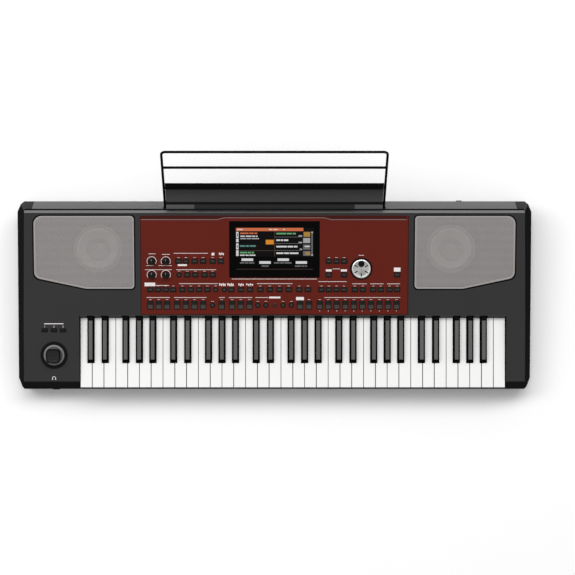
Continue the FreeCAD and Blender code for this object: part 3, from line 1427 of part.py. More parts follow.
inlet = box_socket("inlet", INLET_SHARE, ("inlet_width", "inlet_height"), "inlet_wall", "inlet_depth",
                   "inlet_cavity_depth")
power_x = f"{POWER_SHARE} * case_width"
button_back = f"{rear_face} - power_button_depth"
switch_front = f"{button_back} - power_travel - stop_gap"
switch_side = "power_button_side + wall"
power_switch = box("power_switch", (f"{power_x} - ({switch_side}) / 2", f"{switch_front} - power_switch_depth",
                                    f"socket_height - ({switch_side}) / 2"),
                   (switch_side, "power_switch_depth", switch_side))
bridge_start = f"{INLET_SHARE} * case_width + inlet_width / 2"
bridge = box("power_bridge", (bridge_start, f"{switch_front} - power_switch_depth", "socket_height - wall"),
             (f"{power_x} - ({bridge_start})", "wall", "2 * wall"))
node(fuse("mains_inlet", [inlet, bridge, power_switch]))
power_button = box("power_cap", (f"{power_x} - power_button_side / 2", button_back,
                                 "socket_height - power_button_side / 2"),
                   ("power_button_side", "power_button_depth + power_button_rise", "power_button_side"))
node(group("power_button", [power_button]))

# Music stand: sockets in the rear panel, a bent rod with a crossbar, and a bent plate with a ledge

tubes = []
for index, x in enumerate(stand_sides):
    tube = stand_rod(f"stand_tube_{index}", x, tube_low, "0 - stand_tube_top", "stand_tube_radius")
    bore = stand_rod(f"stand_tube_bore_{index}", x, "0 - stand_leg - seat_gap", "0", "stand_rod_radius + running_gap")
    tubes.append(cut(f"stand_socket_{index}", tube, bore))
node(on_stand(group("stand_sockets", tubes)))
stand_rods = []
for index, x in enumerate(stand_sides):
    stand_rods.append(stand_rod(f"stand_leg_{index}", x, "0 - stand_leg", "stand_length", "stand_rod_radius"))
    elbow = doc.addObject("Part::Sphere", f"stand_elbow_{index}")
    bind(elbow, "Radius", "stand_rod_radius")
    stand_rods.append(place(elbow, x, "stand_length", stand_w))
for name, v in (("top", "stand_length"), ("middle", "stand_bar_v")):
    stand_rods.append(rod(f"stand_{name}_bar", ("0 - stand_width / 2", v, stand_w), "stand_rod_radius",
                          "stand_width", "x"))
node(on_stand(fuse("stand_frame", stand_rods)))
plate_half = "(stand_width / 2 - stand_rod_radius - seat_gap)"
back_sheet = box("stand_back_sheet", (f"0 - {plate_half}", "0", "0 - stand_plate_thickness"),
                 (f"2 * {plate_half}", "stand_plate_length", "stand_plate_thickness"))
back = on_stand(group("stand_back", [back_sheet]))
ledge = box("stand_ledge", (f"0 - {plate_half}", "front_y + stand_y - stand_ledge_depth",
                            "stand_height - stand_plate_thickness"),
            (f"2 * {plate_half}", "stand_ledge_depth + stand_plate_thickness", "stand_plate_thickness"))
lip = box("stand_lip", ("0 - stand_lip_width / 2", "front_y + stand_y - stand_ledge_depth",
                        "stand_height - stand_plate_thickness"),
          ("stand_lip_width", "stand_plate_thickness", "stand_plate_thickness + stand_lip_height"))
node(fuse("stand_plate", [back, ledge, lip]))

# Every object has to have come out whole before anything is written

doc.recompute()
for item in doc.Objects:
    for flag in ("Invalid", "Error"):
        if flag in item.State:
            raise RuntimeError(f"{item.Name} failed: {item.State}")
for item in nodes:
    if item.Shape.isNull() or not item.Shape.isValid():
        raise RuntimeError(f"{item.Label} has no sound shape")
os.makedirs("parts", exist_ok=True)
for item in nodes:
    item.Shape.exportStep(f"parts/{item.Label}.step")
print(len(nodes), "nodes written")
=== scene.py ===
import math

import bmesh
import bpy
from mathutils import Matrix, Vector


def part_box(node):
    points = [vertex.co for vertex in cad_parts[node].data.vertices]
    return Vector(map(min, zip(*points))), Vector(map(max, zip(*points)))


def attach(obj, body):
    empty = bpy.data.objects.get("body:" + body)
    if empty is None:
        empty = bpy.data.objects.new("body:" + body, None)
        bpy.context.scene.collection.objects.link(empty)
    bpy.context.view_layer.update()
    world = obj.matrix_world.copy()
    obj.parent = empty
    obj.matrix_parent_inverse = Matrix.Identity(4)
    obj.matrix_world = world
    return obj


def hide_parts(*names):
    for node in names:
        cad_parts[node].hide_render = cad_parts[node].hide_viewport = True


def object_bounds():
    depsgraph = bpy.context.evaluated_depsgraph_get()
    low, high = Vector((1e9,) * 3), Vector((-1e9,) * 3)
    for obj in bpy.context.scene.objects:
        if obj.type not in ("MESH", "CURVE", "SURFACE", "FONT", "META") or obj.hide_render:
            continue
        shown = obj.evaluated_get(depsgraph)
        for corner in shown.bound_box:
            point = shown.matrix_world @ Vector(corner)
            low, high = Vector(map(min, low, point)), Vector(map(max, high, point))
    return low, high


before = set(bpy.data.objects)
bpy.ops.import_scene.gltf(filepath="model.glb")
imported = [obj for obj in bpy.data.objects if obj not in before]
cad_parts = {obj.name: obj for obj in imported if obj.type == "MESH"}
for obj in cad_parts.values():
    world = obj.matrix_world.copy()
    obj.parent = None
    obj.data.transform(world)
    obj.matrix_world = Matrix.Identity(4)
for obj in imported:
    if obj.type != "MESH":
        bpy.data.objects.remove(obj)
cad_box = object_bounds()

# Bottom tray: a shallow box of black moulded plastic with a fine spark-eroded grain.
# It carries the boards and the key frame, and screws from below draw it up to posts in the lid.


def finish_step(material, kind, inputs, **settings):
    """Adds one shader node; each of its inputs takes a value, or the output that feeds it."""
    node = material.node_tree.nodes.new("ShaderNode" + kind)
    for name, value in settings.items():
        setattr(node, name, value)
    for name, value in inputs.items():
        if isinstance(value, bpy.types.NodeSocket):
            material.node_tree.links.new(value, node.inputs[name])
        else:
            node.inputs[name].default_value = value
    return node.outputs


def reckon(material, operation, *terms):
    """One step of arithmetic with outputs and numbers."""
    return finish_step(material, "Math", dict(enumerate(terms)), operation=operation)["Value"]


def fade(material, value, start, end, low=0.0, high=1.0):
    """Goes from a low to a high number while a value goes from start to end."""
    ends = {"Value": value, "From Min": start, "From Max": end, "To Min": low, "To Max": high}
    return finish_step(material, "MapRange", ends)["Result"]


def feed(material, socket, output):
    """Connects an output to a socket of the finish's own shader."""
    shader = material.node_tree.nodes["Principled BSDF"]
    material.node_tree.links.new(output, shader.inputs[socket])


def finish(name, low, high, rough, grain, depth, stretch=(1, 1, 1), **sockets):
    """A surface whose tone drifts between two colours, with grain of a given size and depth in metres."""
    material = bpy.data.materials.new(name)
    material.use_nodes = True
    place = finish_step(material, "TexCoord", {})["Object"]
    spread = finish_step(material, "Mapping", {"Vector": place, "Scale": stretch})["Vector"]
    cloud = finish_step(material, "TexNoise", {"Vector": spread, "Scale": 14, "Detail": 4})["Fac"]
    speck = finish_step(material, "TexNoise", {"Vector": spread, "Scale": 1 / grain})["Fac"]
    half_cloud = reckon(material, "MULTIPLY", cloud, 0.5)
    blend = reckon(material, "MULTIPLY_ADD", speck, 0.5, half_cloud)
    if low == high:
        sockets["Base_Color"] = (*low, 1)
    else:
        tones = {"Factor": blend, 6: (*low, 1), 7: (*high, 1)}
        feed(material, "Base Color", finish_step(material, "Mix", tones, data_type="RGBA")[2])
    feed(material, "Roughness", fade(material, blend, 0, 1, *rough))
    relief = finish_step(material, "Bump", {"Strength": 0.5, "Distance": depth, "Height": speck})
    feed(material, "Normal", relief["Normal"])
    shader = material.node_tree.nodes["Principled BSDF"]
    for socket, value in sockets.items():
        shader.inputs[socket.replace("_", " ")].default_value = value
    return material


cad_seam = 2e-6


def dress(node_name, material, edge=0.0, clamp=True):
    """Gives a CAD node its finish, and breaks its sharp edges where an edge width is given."""
    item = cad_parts[node_name]
    for slot in item.material_slots:
        slot.material = material
    if edge:
        weld = item.modifiers.new("close_seams", "WELD")
        weld.merge_threshold = cad_seam
        bevel = item.modifiers.new("broken_edges", "BEVEL")
        bevel.width = edge
        bevel.segments = 2
        bevel.limit_method = "ANGLE"
        bevel.angle_limit = math.radians(32)
        bevel.use_clamp_overlap = clamp
        normals = item.modifiers.new("even_shading", "WEIGHTED_NORMAL")
        normals.weight = 60


tray_plastic = finish("tray_plastic", (0.008, 0.008, 0.009), (0.014, 0.014, 0.015),
                      (0.42, 0.62), 0.0008, 0.00006)
dress("bottom_case", tray_plastic, 0.0006)

# Feet and screws: six discs of black rubber and fourteen pan-head screws of plated steel.
# The feet are stuck under the tray, and the screws sit in plain holes between them.

foot_rubber = finish("foot_rubber", (0.010, 0.010, 0.010), (0.022, 0.021, 0.020),
                     (0.7, 0.9), 0.0011, 0.00012)
plated_steel = finish("plated_steel", (0.42, 0.42, 0.43), (0.60, 0.60, 0.60),
                      (0.24, 0.40), 0.0007, 0.00002, Metallic=1.0)
dress("rubber_feet", foot_rubber, 0.0012)
dress("case_screws", plated_steel, 0.0004)

# Key frame with its felts, pivot rod, springs, contact board and rubber contacts.
# It is a moulded carrier under the keys, seen only between them or when a key is down.

carrier_plastic = finish("carrier_plastic", (0.012, 0.012, 0.013), (0.022, 0.022, 0.023),
                         (0.5, 0.7), 0.001, 0.00005)
red_felt = finish("red_felt", (0.16, 0.012, 0.012), (0.28, 0.03, 0.025), (0.9, 1.0), 0.0007, 0.0003)
board_lacquer = finish("board_lacquer", (0.008, 0.06, 0.025), (0.016, 0.11, 0.04),
                       (0.25, 0.45), 0.003, 0.00008)
contact_rubber = finish("contact_rubber", (0.05, 0.05, 0.05), (0.09, 0.09, 0.09),
                        (0.65, 0.8), 0.0012, 0.00005)
dress("keybed_frame", carrier_plastic, 0.0004)
dress("key_felts", red_felt)
dress("key_pivot_rod", plated_steel)
dress("key_spring_comb", plated_steel)
dress("contact_board", board_lacquer)
dress("contact_strip", contact_rubber)

# White keys: injection-moulded in white gloss plastic, hollow below, with softly rounded fronts.
# All of them turn on one steel rod far back under the panel; their side walls are painted dark grey as
# painted shade for the gaps between them.


def facing(material):
    """Which way a surface faces, as separate X, Y and Z."""
    geometry = finish_step(material, "NewGeometry", {})
    return finish_step(material, "SeparateXYZ", {"Vector": geometry["True Normal"]})


def paint_over(material, mask, colour):
    """Lays a second colour over a finish wherever the mask is one."""
    base = material.node_tree.nodes["Principled BSDF"].inputs["Base Color"]
    coats = {"Factor": mask, 6: base.links[0].from_socket, 7: (*colour, 1)}
    feed(material, "Base Color", finish_step(material, "Mix", coats, data_type="RGBA")[2])


key_white = finish("key_white", (0.86, 0.857, 0.85), (0.90, 0.897, 0.89), (0.16, 0.26), 0.004, 0.00002,
                   Coat_Weight=0.35, Coat_Roughness=0.08)
# The side walls of the keys are painted dark grey: painted shade, so that the gaps between the keys read
# dark.
gap_shade_side = reckon(key_white, "ABSOLUTE", facing(key_white)["X"])
paint_over(key_white, fade(key_white, gap_shade_side, 0.15, 0.40), (0.045, 0.045, 0.044))
for note in ("c", "d", "e", "f", "g", "a", "b"):
    dress("keys_" + note, key_white, 0.0009, clamp=False)

# Black keys: tapered caps of black plastic, left as they come from the mould.
# A grey strip along the top of each, a hair proud of it, is painted sheen for the lit top of the key.


def loft(mesh, rings, slot=0, base=True, top=True):
    """Skins a stack of rings that have equal numbers of points, anticlockwise seen from above."""
    rows = [[mesh.verts.new(point) for point in ring] for ring in rings]
    faces = []
    for lower, upper in zip(rows, rows[1:]):
        for index in range(len(lower)):
            faces.append(mesh.faces.new((lower[index - 1], lower[index], upper[index], upper[index - 1])))
    if base:
        faces.append(mesh.faces.new(rows[0][::-1]))
    if top:
        faces.append(mesh.faces.new(rows[-1]))
    for face in faces:
        face.material_index = slot


def oblong(left, right, near, far):
    """The corners of a rectangle, anticlockwise."""
    return (left, near), (right, near), (right, far), (left, far)


def level(corners, z):
    """Corners in plan, set at one height."""
    return [(x, y, z) for x, y in corners]


def settle(name, mesh, materials, body, place=Matrix()):
    """Turns a mesh into a piece of the keyboard that moves with a body."""
    bmesh.ops.remove_doubles(mesh, verts=mesh.verts, dist=1e-7)
    bmesh.ops.transform(mesh, matrix=place, verts=mesh.verts)
    for face in mesh.faces:
        face.smooth = True
    for edge in mesh.edges:
        if edge.calc_face_angle(0) > math.radians(36):
            edge.smooth = False
    data = bpy.data.meshes.new(name)
    mesh.to_mesh(data)
    mesh.free()
    for material in materials:
        data.materials.append(material)
    item = bpy.data.objects.new(name, data)
    bpy.context.collection.objects.link(item)
    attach(item, body)
    return item


def solids_of(node_name, into):
    """The boxes of a CAD node's separate solids, in the frame given."""
    mesh = bmesh.new()
    mesh.from_mesh(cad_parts[node_name].data)
    bmesh.ops.remove_doubles(mesh, verts=mesh.verts, dist=cad_seam)
    bmesh.ops.transform(mesh, matrix=into.inverted(), verts=mesh.verts)
    seen = set()
    boxes = []
    for start in mesh.verts:
        if start in seen:
            continue
        seen.add(start)
        reach = [start]
        for vertex in reach:
            for edge in vertex.link_edges:
                other = edge.other_vert(vertex)
                if other not in seen:
                    seen.add(other)
                    reach.append(other)
        low = [min(vertex.co[axis] for vertex in reach) for axis in range(3)]
        high = [max(vertex.co[axis] for vertex in reach) for axis in range(3)]
        boxes.append((low, high))
    mesh.free()
    return boxes


key_black = finish("key_black", (0.0035, 0.0035, 0.0035), (0.007, 0.007, 0.007),
                   (0.30, 0.45), 0.0009, 0.00004, Specular_IOR_Level=0.0)
# The grey of the strips on the black keys is painted sheen: the top of a key where the overhead light falls.
key_top_sheen = finish("key_top_sheen", (0.110, 0.109, 0.108), (0.124, 0.123, 0.122), (0.5, 0.65), 0.0009, 0.00003,
                  Specular_IOR_Level=0.0)
front = cad_box[0][1]
pad_half = 0.0036
pad_near = front + 0.0600
pad_far = front + 0.1372
pad_steps = ((0.0, -0.0001), (0.0, 0.00002), (0.0002, 0.00006))
black_key_sides = []
for note in ("c", "d", "f", "g", "a"):
    dress(f"keys_{note}_sharp", key_black, 0.0012)
    pads = bmesh.new()
    for low, high in solids_of(f"keys_{note}_sharp", Matrix()):
        black_key_sides.append((low[0], high[0]))
        middle = (low[0] + high[0]) / 2
        pad_rings = []
        for inset, rise in pad_steps:
            half = pad_half - inset
            corners = oblong(middle - half, middle + half, pad_near + inset, pad_far - inset)
            pad_rings.append(level(corners, high[2] + rise))
        loft(pads, pad_rings)
    item = settle(f"key_sheen_pads_{note}_sharp", pads, [key_top_sheen], f"keys_{note}_sharp")

# Boards and other works on the floor of the tray and under the panel.
# Green lacquered boards with black parts, potentiometers and a boxed display module.

part_black = finish("part_black", (0.007, 0.007, 0.008), (0.013, 0.013, 0.013), (0.4, 0.6), 0.0009, 0.00004)
module_steel = finish("module_steel", (0.36, 0.36, 0.36), (0.48, 0.48, 0.47), (0.3, 0.45), 0.0012, 0.00003,
                      stretch=(0.2, 1, 1), Metallic=1.0)
for node_name in ("main_board", "power_supply", "panel_board"):
    dress(node_name, board_lacquer)
for node_name in ("push_switches", "control_pots"):
    dress(node_name, part_black)
dress("display_module", module_steel, 0.0006)

# Speakers: a pressed basket in grey paint, a pale pulp cone with a darker inner whizzer, a ferrite magnet.
# Each sits on the baffle of a dark grey plastic box under its grille.


def place_on(material):
    """Where a point of the object lies."""
    return material.node_tree.nodes["Texture Coordinate"].outputs["Object"]


panel_front = (0, front + 0.147, 0.098)
panel_frame = Matrix.Translation(panel_front) @ Matrix.Rotation(math.radians(8), 4, "X")
cone_pulp = finish("cone_pulp", (0.66, 0.652, 0.642), (0.74, 0.731, 0.719), (0.75, 0.95), 0.0016, 0.0003)
basket_paint = finish("basket_paint", (0.25, 0.25, 0.247), (0.30, 0.30, 0.296),
                      (0.6, 0.75), 0.0012, 0.00004)
baffle_grey = finish("baffle_grey", (0.06, 0.06, 0.06), (0.09, 0.09, 0.09), (0.6, 0.75), 0.0014, 0.00004)
ferrite = finish("ferrite", (0.03, 0.03, 0.032), (0.06, 0.06, 0.06), (0.5, 0.7), 0.0015, 0.0001)
speaker_middle = panel_frame @ Vector((0.3495, 0.1326, -0.010))
speaker_axis = (speaker_middle.x, speaker_middle.y, 0)
whizzer_edge = (0.0236, 0.0224)
cone_place = finish_step(cone_pulp, "SeparateXYZ", {"Vector": place_on(cone_pulp)})
either_side = reckon(cone_pulp, "ABSOLUTE", cone_place["X"])
plan = finish_step(cone_pulp, "CombineXYZ", {"X": either_side, "Y": cone_place["Y"]})["Vector"]
from_axis = finish_step(cone_pulp, "VectorMath", {0: plan, 1: speaker_axis}, operation="DISTANCE")["Value"]
paint_over(cone_pulp, fade(cone_pulp, from_axis, *whizzer_edge), (0.48, 0.474, 0.465))
dress("speaker_boxes", baffle_grey)
dress("speaker_baskets", basket_paint, 0.0005)
dress("speaker_cones", cone_pulp)
dress("speaker_magnets", ferrite, 0.0008)

# Lid: dark grey moulded plastic with a fine even grain, the visible body of the keyboard.
# One piece with the key opening, the end blocks and the seats for panel, grilles and joystick.
# A paler strip between two dark joints is fixed along the ridge, where lid and rear panel meet; its pale grey
# is a painted highlight for the ridge's lit rounded edge.


def bar_along_x(mesh, section, left, right, turn=Matrix()):
    """A closed bar along X; a point of its section may carry the slot of the face that leads to it."""
    ends = []
    for x in (left, right):
        ends.append([mesh.verts.new(turn @ Vector((x, y, z))) for y, z, *slot in section])
    faces = [mesh.faces.new(end) for end in ends]
    for index, (y, z, *slot) in enumerate(section):
        face = mesh.faces.new((ends[0][index - 1], ends[1][index - 1], ends[1][index], ends[0][index]))
        face.material_index = slot[0] if slot else 0
        faces.append(face)
    bmesh.ops.recalc_face_normals(mesh, faces=faces)


lid_gloss = 0.05
level_from = 0.80
level_to = 0.95
lid_plastic = finish("lid_plastic", (0.029, 0.0287, 0.0290), (0.038, 0.0376, 0.0380),
                     (0.44, 0.60), 0.0007, 0.00007, Specular_IOR_Level=lid_gloss)
lid_facing = facing(lid_plastic)
# Steep faces of the lid (its sides, front bevel and the walls of its openings) are painted darker: painted
# shade.
steep_face_shade = fade(lid_plastic, lid_facing["Z"], level_to, level_from)
paint_over(lid_plastic, steep_face_shade, (0.019, 0.0188, 0.019))
flat_sheen = fade(lid_plastic, lid_facing["Z"], level_from, level_to, high=lid_gloss)
feed(lid_plastic, "Specular IOR Level", flat_sheen)
# Faces turned to the rear are painted lighter: painted light from the lamp behind.
rearward_face_light = fade(lid_plastic, lid_facing["Y"], 0.55, 0.75)
paint_over(lid_plastic, rearward_face_light, (0.075, 0.075, 0.076))
dress("top_case", lid_plastic, 0.0011)
rear_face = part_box("rear_panel")[1][1]
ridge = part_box("top_case")[1][2]
# The pale grey of the ridge strip is a painted highlight for the lit rounded edge of the ridge.
ridge_highlight_grey = finish("ridge_highlight_grey", (0.14, 0.14, 0.142), (0.18, 0.18, 0.182), (0.35, 0.5), 0.0007, 0.00004)
joint_black = finish("joint_black", (0.003, 0.003, 0.003), (0.006, 0.006, 0.006),
                     (0.6, 0.8), 0.0008, 0.00004, Specular_IOR_Level=0.0)
trim_half = 0.4935
trim_steps = ((0.0249, 0.00025, 1), (0.0244, 0.0004, 0), (0.0206, 0.0028, 0),
              (0.0197, 0.0037, 0), (0.0190, 0.0044, 1), (0.0165, 0.0106, 1))
trim_section = [(rear_face - inward, ridge - drop, slot) for inward, drop, slot in trim_steps]
trim = bmesh.new()
bar_along_x(trim, trim_section, -trim_half, trim_half)
settle("ridge_trim", trim, [ridge_highlight_grey, joint_black], "case")

# Rear panel: a bent plastic plate under the ridge, painted lighter than the lid as painted light on its
# rear-facing faces, with the sockets set into it.
# Its upper part slopes up to the ridge, and its lower part stands upright.

# The rear panel's lighter grey is painted light: the lid's plastic where the lamp behind falls on it.
rear_plastic = finish("rear_plastic", (0.080, 0.080, 0.081), (0.100, 0.100, 0.101),
                      (0.4, 0.56), 0.0008, 0.00007)
dress("rear_panel", rear_plastic, 0.0006)

# Sockets: black jack sockets, round and square data sockets, mains inlet and power button.
# Hexagonal steel nuts hold the jacks at the rear, and a round black one the headphone jack in front.
# The pins are of brass, and the tongues in the ports of white plastic.


def circle(radius, z, sides, middle=(0, 0)):
    """Points on a circle, anticlockwise."""
    points = []
    for index in range(sides):
        angle = 2 * math.pi * index / sides
        points.append((middle[0] + radius * math.cos(angle), middle[1] + radius * math.sin(angle), z))
    return points


def turned(mesh, profile, sides, middle=(0, 0), slot=0, base=True, top=True):
    """A round piece; its profile is given by radii and heights, from the foot up."""
    loft(mesh, [circle(radius, z, sides, middle) for radius, z in profile], slot, base, top)


def hoop(mesh, section, sides, middle=(0, 0)):
    """A closed ring; its section is given by radii and heights, from the outer foot over the top."""
    turned(mesh, (*section, section[0]), sides, middle, base=False, top=False)


brass = finish("brass", (0.50, 0.30, 0.09), (0.66, 0.43, 0.15), (0.22, 0.36), 0.0006, 0.00002, Metallic=1.0)
tongue_white = finish("tongue_white", (0.55, 0.55, 0.54), (0.66, 0.66, 0.65), (0.35, 0.5), 0.001, 0.00002)
dress("phone_jacks", part_black, 0.0004)
dress("data_sockets", module_steel, 0.0003)
dress("mains_inlet", part_black, 0.0005)
dress("power_button", part_black, 0.0008)
socket_level = (0, rear_face, 0.040)
headphone_spot = (-0.438, front, 0.043)
out_of_rear = Matrix.Translation(socket_level) @ Matrix.Rotation(math.radians(-90), 4, "X")
out_of_front = Matrix.Translation(headphone_spot) @ Matrix.Rotation(math.radians(90), 4, "X")
jack_places = (-0.3708, -0.33475, -0.28325, -0.2472)
hexagon_nut = ((0.0076, 0.0), (0.0076, 0.0011), (0.0069, 0.0015), (0.0056, 0.0015), (0.0056, 0.0))
round_nut = ((0.0078, 0.0), (0.0078, 0.0011), (0.0071, 0.0017), (0.0056, 0.0017), (0.0056, 0.0))
nuts = bmesh.new()
for x in jack_places:
    hoop(nuts, hexagon_nut, 6, (x, 0))
settle("jack_nuts", nuts, [plated_steel], "case", out_of_rear)
collar_nut = bmesh.new()
hoop(collar_nut, round_nut, 40)
settle("headphone_nut", collar_nut, [part_black], "case", out_of_front)
data_pin = ((0.0007, -0.0069), (0.0007, -0.0040), (0.0003, -0.0035))
mains_pin = ((0.0018, -0.0149), (0.0018, -0.0050), (0.0010, -0.0040))
pin_ring = 0.0037
data_places = (-0.0824, -0.0515)
mains_places = (0.3148, 0.3238)
pins = bmesh.new()
for x in data_places:
    for degrees in (-90, -45, 0, 45, 90):
        angle = math.radians(degrees)
        turned(pins, data_pin, 10, (x + pin_ring * math.sin(angle), pin_ring * math.cos(angle)))
for x in mains_places:
    turned(pins, mains_pin, 16, (x, 0))
settle("socket_pins", pins, [brass], "case", out_of_rear)
tongue_steps = ((1.0, 1.0, -0.0099), (1.0, 1.0, -0.0020), (0.85, 0.7, -0.0014))
tongue_sizes = ((0.0, 0.0028, 0.0016), (0.0309, 0.0056, 0.0009))
tongues = bmesh.new()
for x, half_width, half_height in tongue_sizes:
    tongue_rings = []
    for width_share, height_share, z in tongue_steps:
        wide = half_width * width_share
        tall = half_height * height_share
        tongue_rings.append(level(oblong(x - wide, x + wide, -tall, tall), z))
    loft(tongues, tongue_rings)
settle("port_tongues", tongues, [tongue_white], "case", out_of_rear)

# Lip over the keys: a strip of black felt under the lid's front edge, with a thin rib along its top painted
# pale grey as a painted highlight.
# It is cut out round the black keys and hangs just clear of the white ones.

# The pale grey of the rib is a painted highlight on its rounded top.
rib_highlight = finish("rib_highlight", (0.055, 0.055, 0.055), (0.075, 0.075, 0.075), (0.5, 0.7), 0.0008, 0.00004)
lip_felt = finish("lip_felt", (0.003, 0.003, 0.003), (0.006, 0.006, 0.006), (0.9, 1.0), 0.0006, 0.0002,
                  Specular_IOR_Level=0.0)
lip_section = ((0.1473, 0.0974, 0), (0.1468, 0.0973, 1), (0.1455, 0.0966, 1), (0.1452, 0.0960, 1),
               (0.1446, 0.0900, 0), (0.1427, 0.0842, 0), (0.1427, 0.0832, 0), (0.1473, 0.0832, 0))
lip_gap = 0.0009
outer_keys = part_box("keys_c")
lip_stops = [(corner[0], corner[0]) for corner in outer_keys]
for left, right in black_key_sides:
    lip_stops.append((left - lip_gap, right + lip_gap))
lip_stops.sort()
lip = bmesh.new()
for stop, following in zip(lip_stops, lip_stops[1:]):
    bar_along_x(lip, lip_section, stop[1], following[0], Matrix.Translation((0, front, 0)))
settle("key_lip", lip, [lip_felt, rib_highlight], "case")

# Control panel: a sheet of dark red lacquered metal set into the lid, a little proud of it.
# A bead crosses it near the rear and steps back behind the screen; its pale pink is a painted highlight.
# Behind the bead, and in a fine strip along the other edges, the red is painted darker as painted shade.

camera_height = 4.285
key_level = 0.082
eye = Vector((0, front + 0.203, camera_height))
pixel = 0.001992 / (camera_height - key_level)
picture_middle = (274.3, 287.5)


def seen_at(px, py, surface, lift):
    """The place on a sloping surface, in its own frame, that the camera sees at a pixel of the picture."""
    ray = Vector(((px - picture_middle[0]) * pixel, (picture_middle[1] - py) * pixel, -1))
    normal = surface.to_3x3() @ Vector((0, 0, 1))
    start = surface @ Vector((0, 0, lift))
    hit = eye + ray * ((start - eye).dot(normal) / ray.dot(normal))
    local = surface.inverted() @ hit
    return local.x, local.y


def slab(mesh, corners, low, high, slot=0):
    """A closed plate between two heights, with corners anticlockwise seen from above."""
    loft(mesh, [level(corners, low), level(corners, high)], slot)


panel_red = finish("panel_red", (0.096, 0.0092, 0.0042), (0.116, 0.0116, 0.0058),
                   (0.34, 0.46), 0.0005, 0.00003, Specular_IOR_Level=0.12)
# The darker red strips behind the bead and along the side and front edges are painted shade.
shade_red = finish("shade_red", (0.040, 0.0035, 0.0018), (0.052, 0.0048, 0.0026),
                  (0.4, 0.5), 0.0005, 0.00003, Specular_IOR_Level=0.12)
# The pale pink of the bead is a painted highlight on the edge of the step.
bead_highlight_red = finish("bead_highlight_red", (0.17, 0.115, 0.112), (0.23, 0.165, 0.160), (0.25, 0.4), 0.0006, 0.00002)
dress("control_panel", panel_red, 0.0004)
bead_line = ((140.6, 219.6), (217.0, 219.6), (224.0, 217.8), (324.0, 217.8), (331.4, 219.6), (406.6, 219.6))
bead_section = ((0.0009, 0.0004), (0.0003, 0.0009), (-0.0003, 0.0009), (-0.0009, 0.0004))
bead_lift = 0.0005
strip_low = 0.0004
strip_top = 0.00055
strip_near = 0.0023
strip_rear = 0.1992
strip_overlap = 0.0008
panel_half = 0.2650
strip_inner = 0.2634
bead = bmesh.new()
strip = bmesh.new()
bead_rings = []
strip_outline = []
for px, py in bead_line:
    u, v = seen_at(px, py, panel_frame, bead_lift)
    bead_rings.append([(u, v + aside, z) for aside, z in bead_section])
    strip_outline.append((u, v + strip_overlap))
loft(bead, bead_rings)
strip_outline += [(strip_outline[-1][0], strip_rear), (strip_outline[0][0], strip_rear)]
slab(strip, strip_outline, strip_low, strip_top)
edge_strips = ((-panel_half, -strip_inner, strip_near, strip_rear),
               (strip_inner, panel_half, strip_near, strip_rear),
               (-strip_inner, strip_inner, 0.0024, 0.0036))
for sides in edge_strips:
    slab(strip, oblong(*sides), strip_low, strip_top)
settle("panel_bead", bead, [bead_highlight_red], "case", panel_frame)
settle("panel_shade_strip", strip, [shade_red], "case", panel_frame)

# Printing on the panel: white lines over groups of controls, short marks at the buttons, scales at the knobs.
# It is screen-printed ink, a few hundredths of a millimetre above the lacquer; the line just under the
# screen, in the same ink, is a painted highlight.

white_ink = finish("white_ink", (0.70, 0.66, 0.65), (0.78, 0.74, 0.73), (0.5, 0.65), 0.0006, 0.00001)
button_groups = ("mode_buttons", "page_buttons", "track_buttons", "screen_buttons", "sound_buttons",
                 "style_buttons", "tempo_buttons", "registration_buttons")
panel_buttons = {name: solids_of(name, panel_frame) for name in button_groups}
ink_top = 0.00058
ink_depth = 0.00012
panel_ink = bmesh.new()


def print_bar(ink, top, left, right, near, far):
    """A bar of ink whose top lies at a given height."""
    slab(ink, oblong(left, right, near, far), top - ink_depth, top)


def print_patch(px_left, px_right, py_rear, py_front):
    """A bar of ink on the panel, given by the pixels of its four sides."""
    left, rear = seen_at(px_left, py_rear, panel_frame, ink_top)
    right, near = seen_at(px_right, py_front, panel_frame, ink_top)
    print_bar(panel_ink, ink_top, left, right, near, rear)


def print_arc(ink, top, middle, radius, thickness):
    """A ring of ink, open to the front."""
    start = -35
    sweep = 250
    steps = 28
    rings = []
    for step in range(steps + 1):
        angle = math.radians(start + sweep * step / steps)
        along = Vector((math.cos(angle), math.sin(angle)))
        inner = Vector(middle) + along * (radius - thickness / 2)
        outer = Vector(middle) + along * (radius + thickness / 2)
        low = top - ink_depth
        rings.append([(*inner, low), (*inner, top), (*outer, top), (*outer, low)])
    loft(ink, rings)


# The line at row 279.0, along the lower edge of the raised screen area, is a painted highlight laid in the
# white ink.
group_lines = (
    (173.5, 207.7, 253.3), (176.2, 216.0, 269.7), (144.8, 171.6, 269.7), (179.0, 217.8, 283.6),
    (155.0, 168.8, 285.4), (256.7, 292.4, 283.6), (318.3, 346.4, 281.6), (351.9, 366.7, 283.8),
    (370.0, 383.4, 283.8), (387.0, 400.0, 283.8), (146.6, 169.8, 297.5), (173.8, 206.2, 297.5),
    (218.8, 224.7, 297.5), (228.6, 252.0, 297.5), (324.2, 400.0, 297.5), (231.6, 316.8, 279.0),
    (332.4, 340.0, 268.9), (358.4, 363.8, 255.3), (255.2, 268.4, 297.5), (148.2, 155.4, 253.8),
    (161.8, 169.6, 254.4), (146.0, 153.6, 265.6), (158.4, 171.6, 265.6),
)
line_half = 0.00045
for px_left, px_right, py in group_lines:
    left, v = seen_at(px_left, py, panel_frame, ink_top)
    right, v = seen_at(px_right, py, panel_frame, ink_top)
    print_bar(panel_ink, ink_top, left, right, v - line_half, v + line_half)
plain_patches = (
    (144.4, 155.0, 282.6, 286.2), (295.9, 303.8, 297.0, 300.2), (325.7, 331.5, 269.4, 271.5),
    (340.7, 346.8, 269.4, 271.5), (393.8, 400.3, 267.6, 271.6), (177.6, 186.8, 264.2, 266.0),
    (269.0, 280.2, 296.6, 298.4), (211.4, 214.2, 252.8, 255.4),
)
for patch in plain_patches:
    print_patch(*patch)
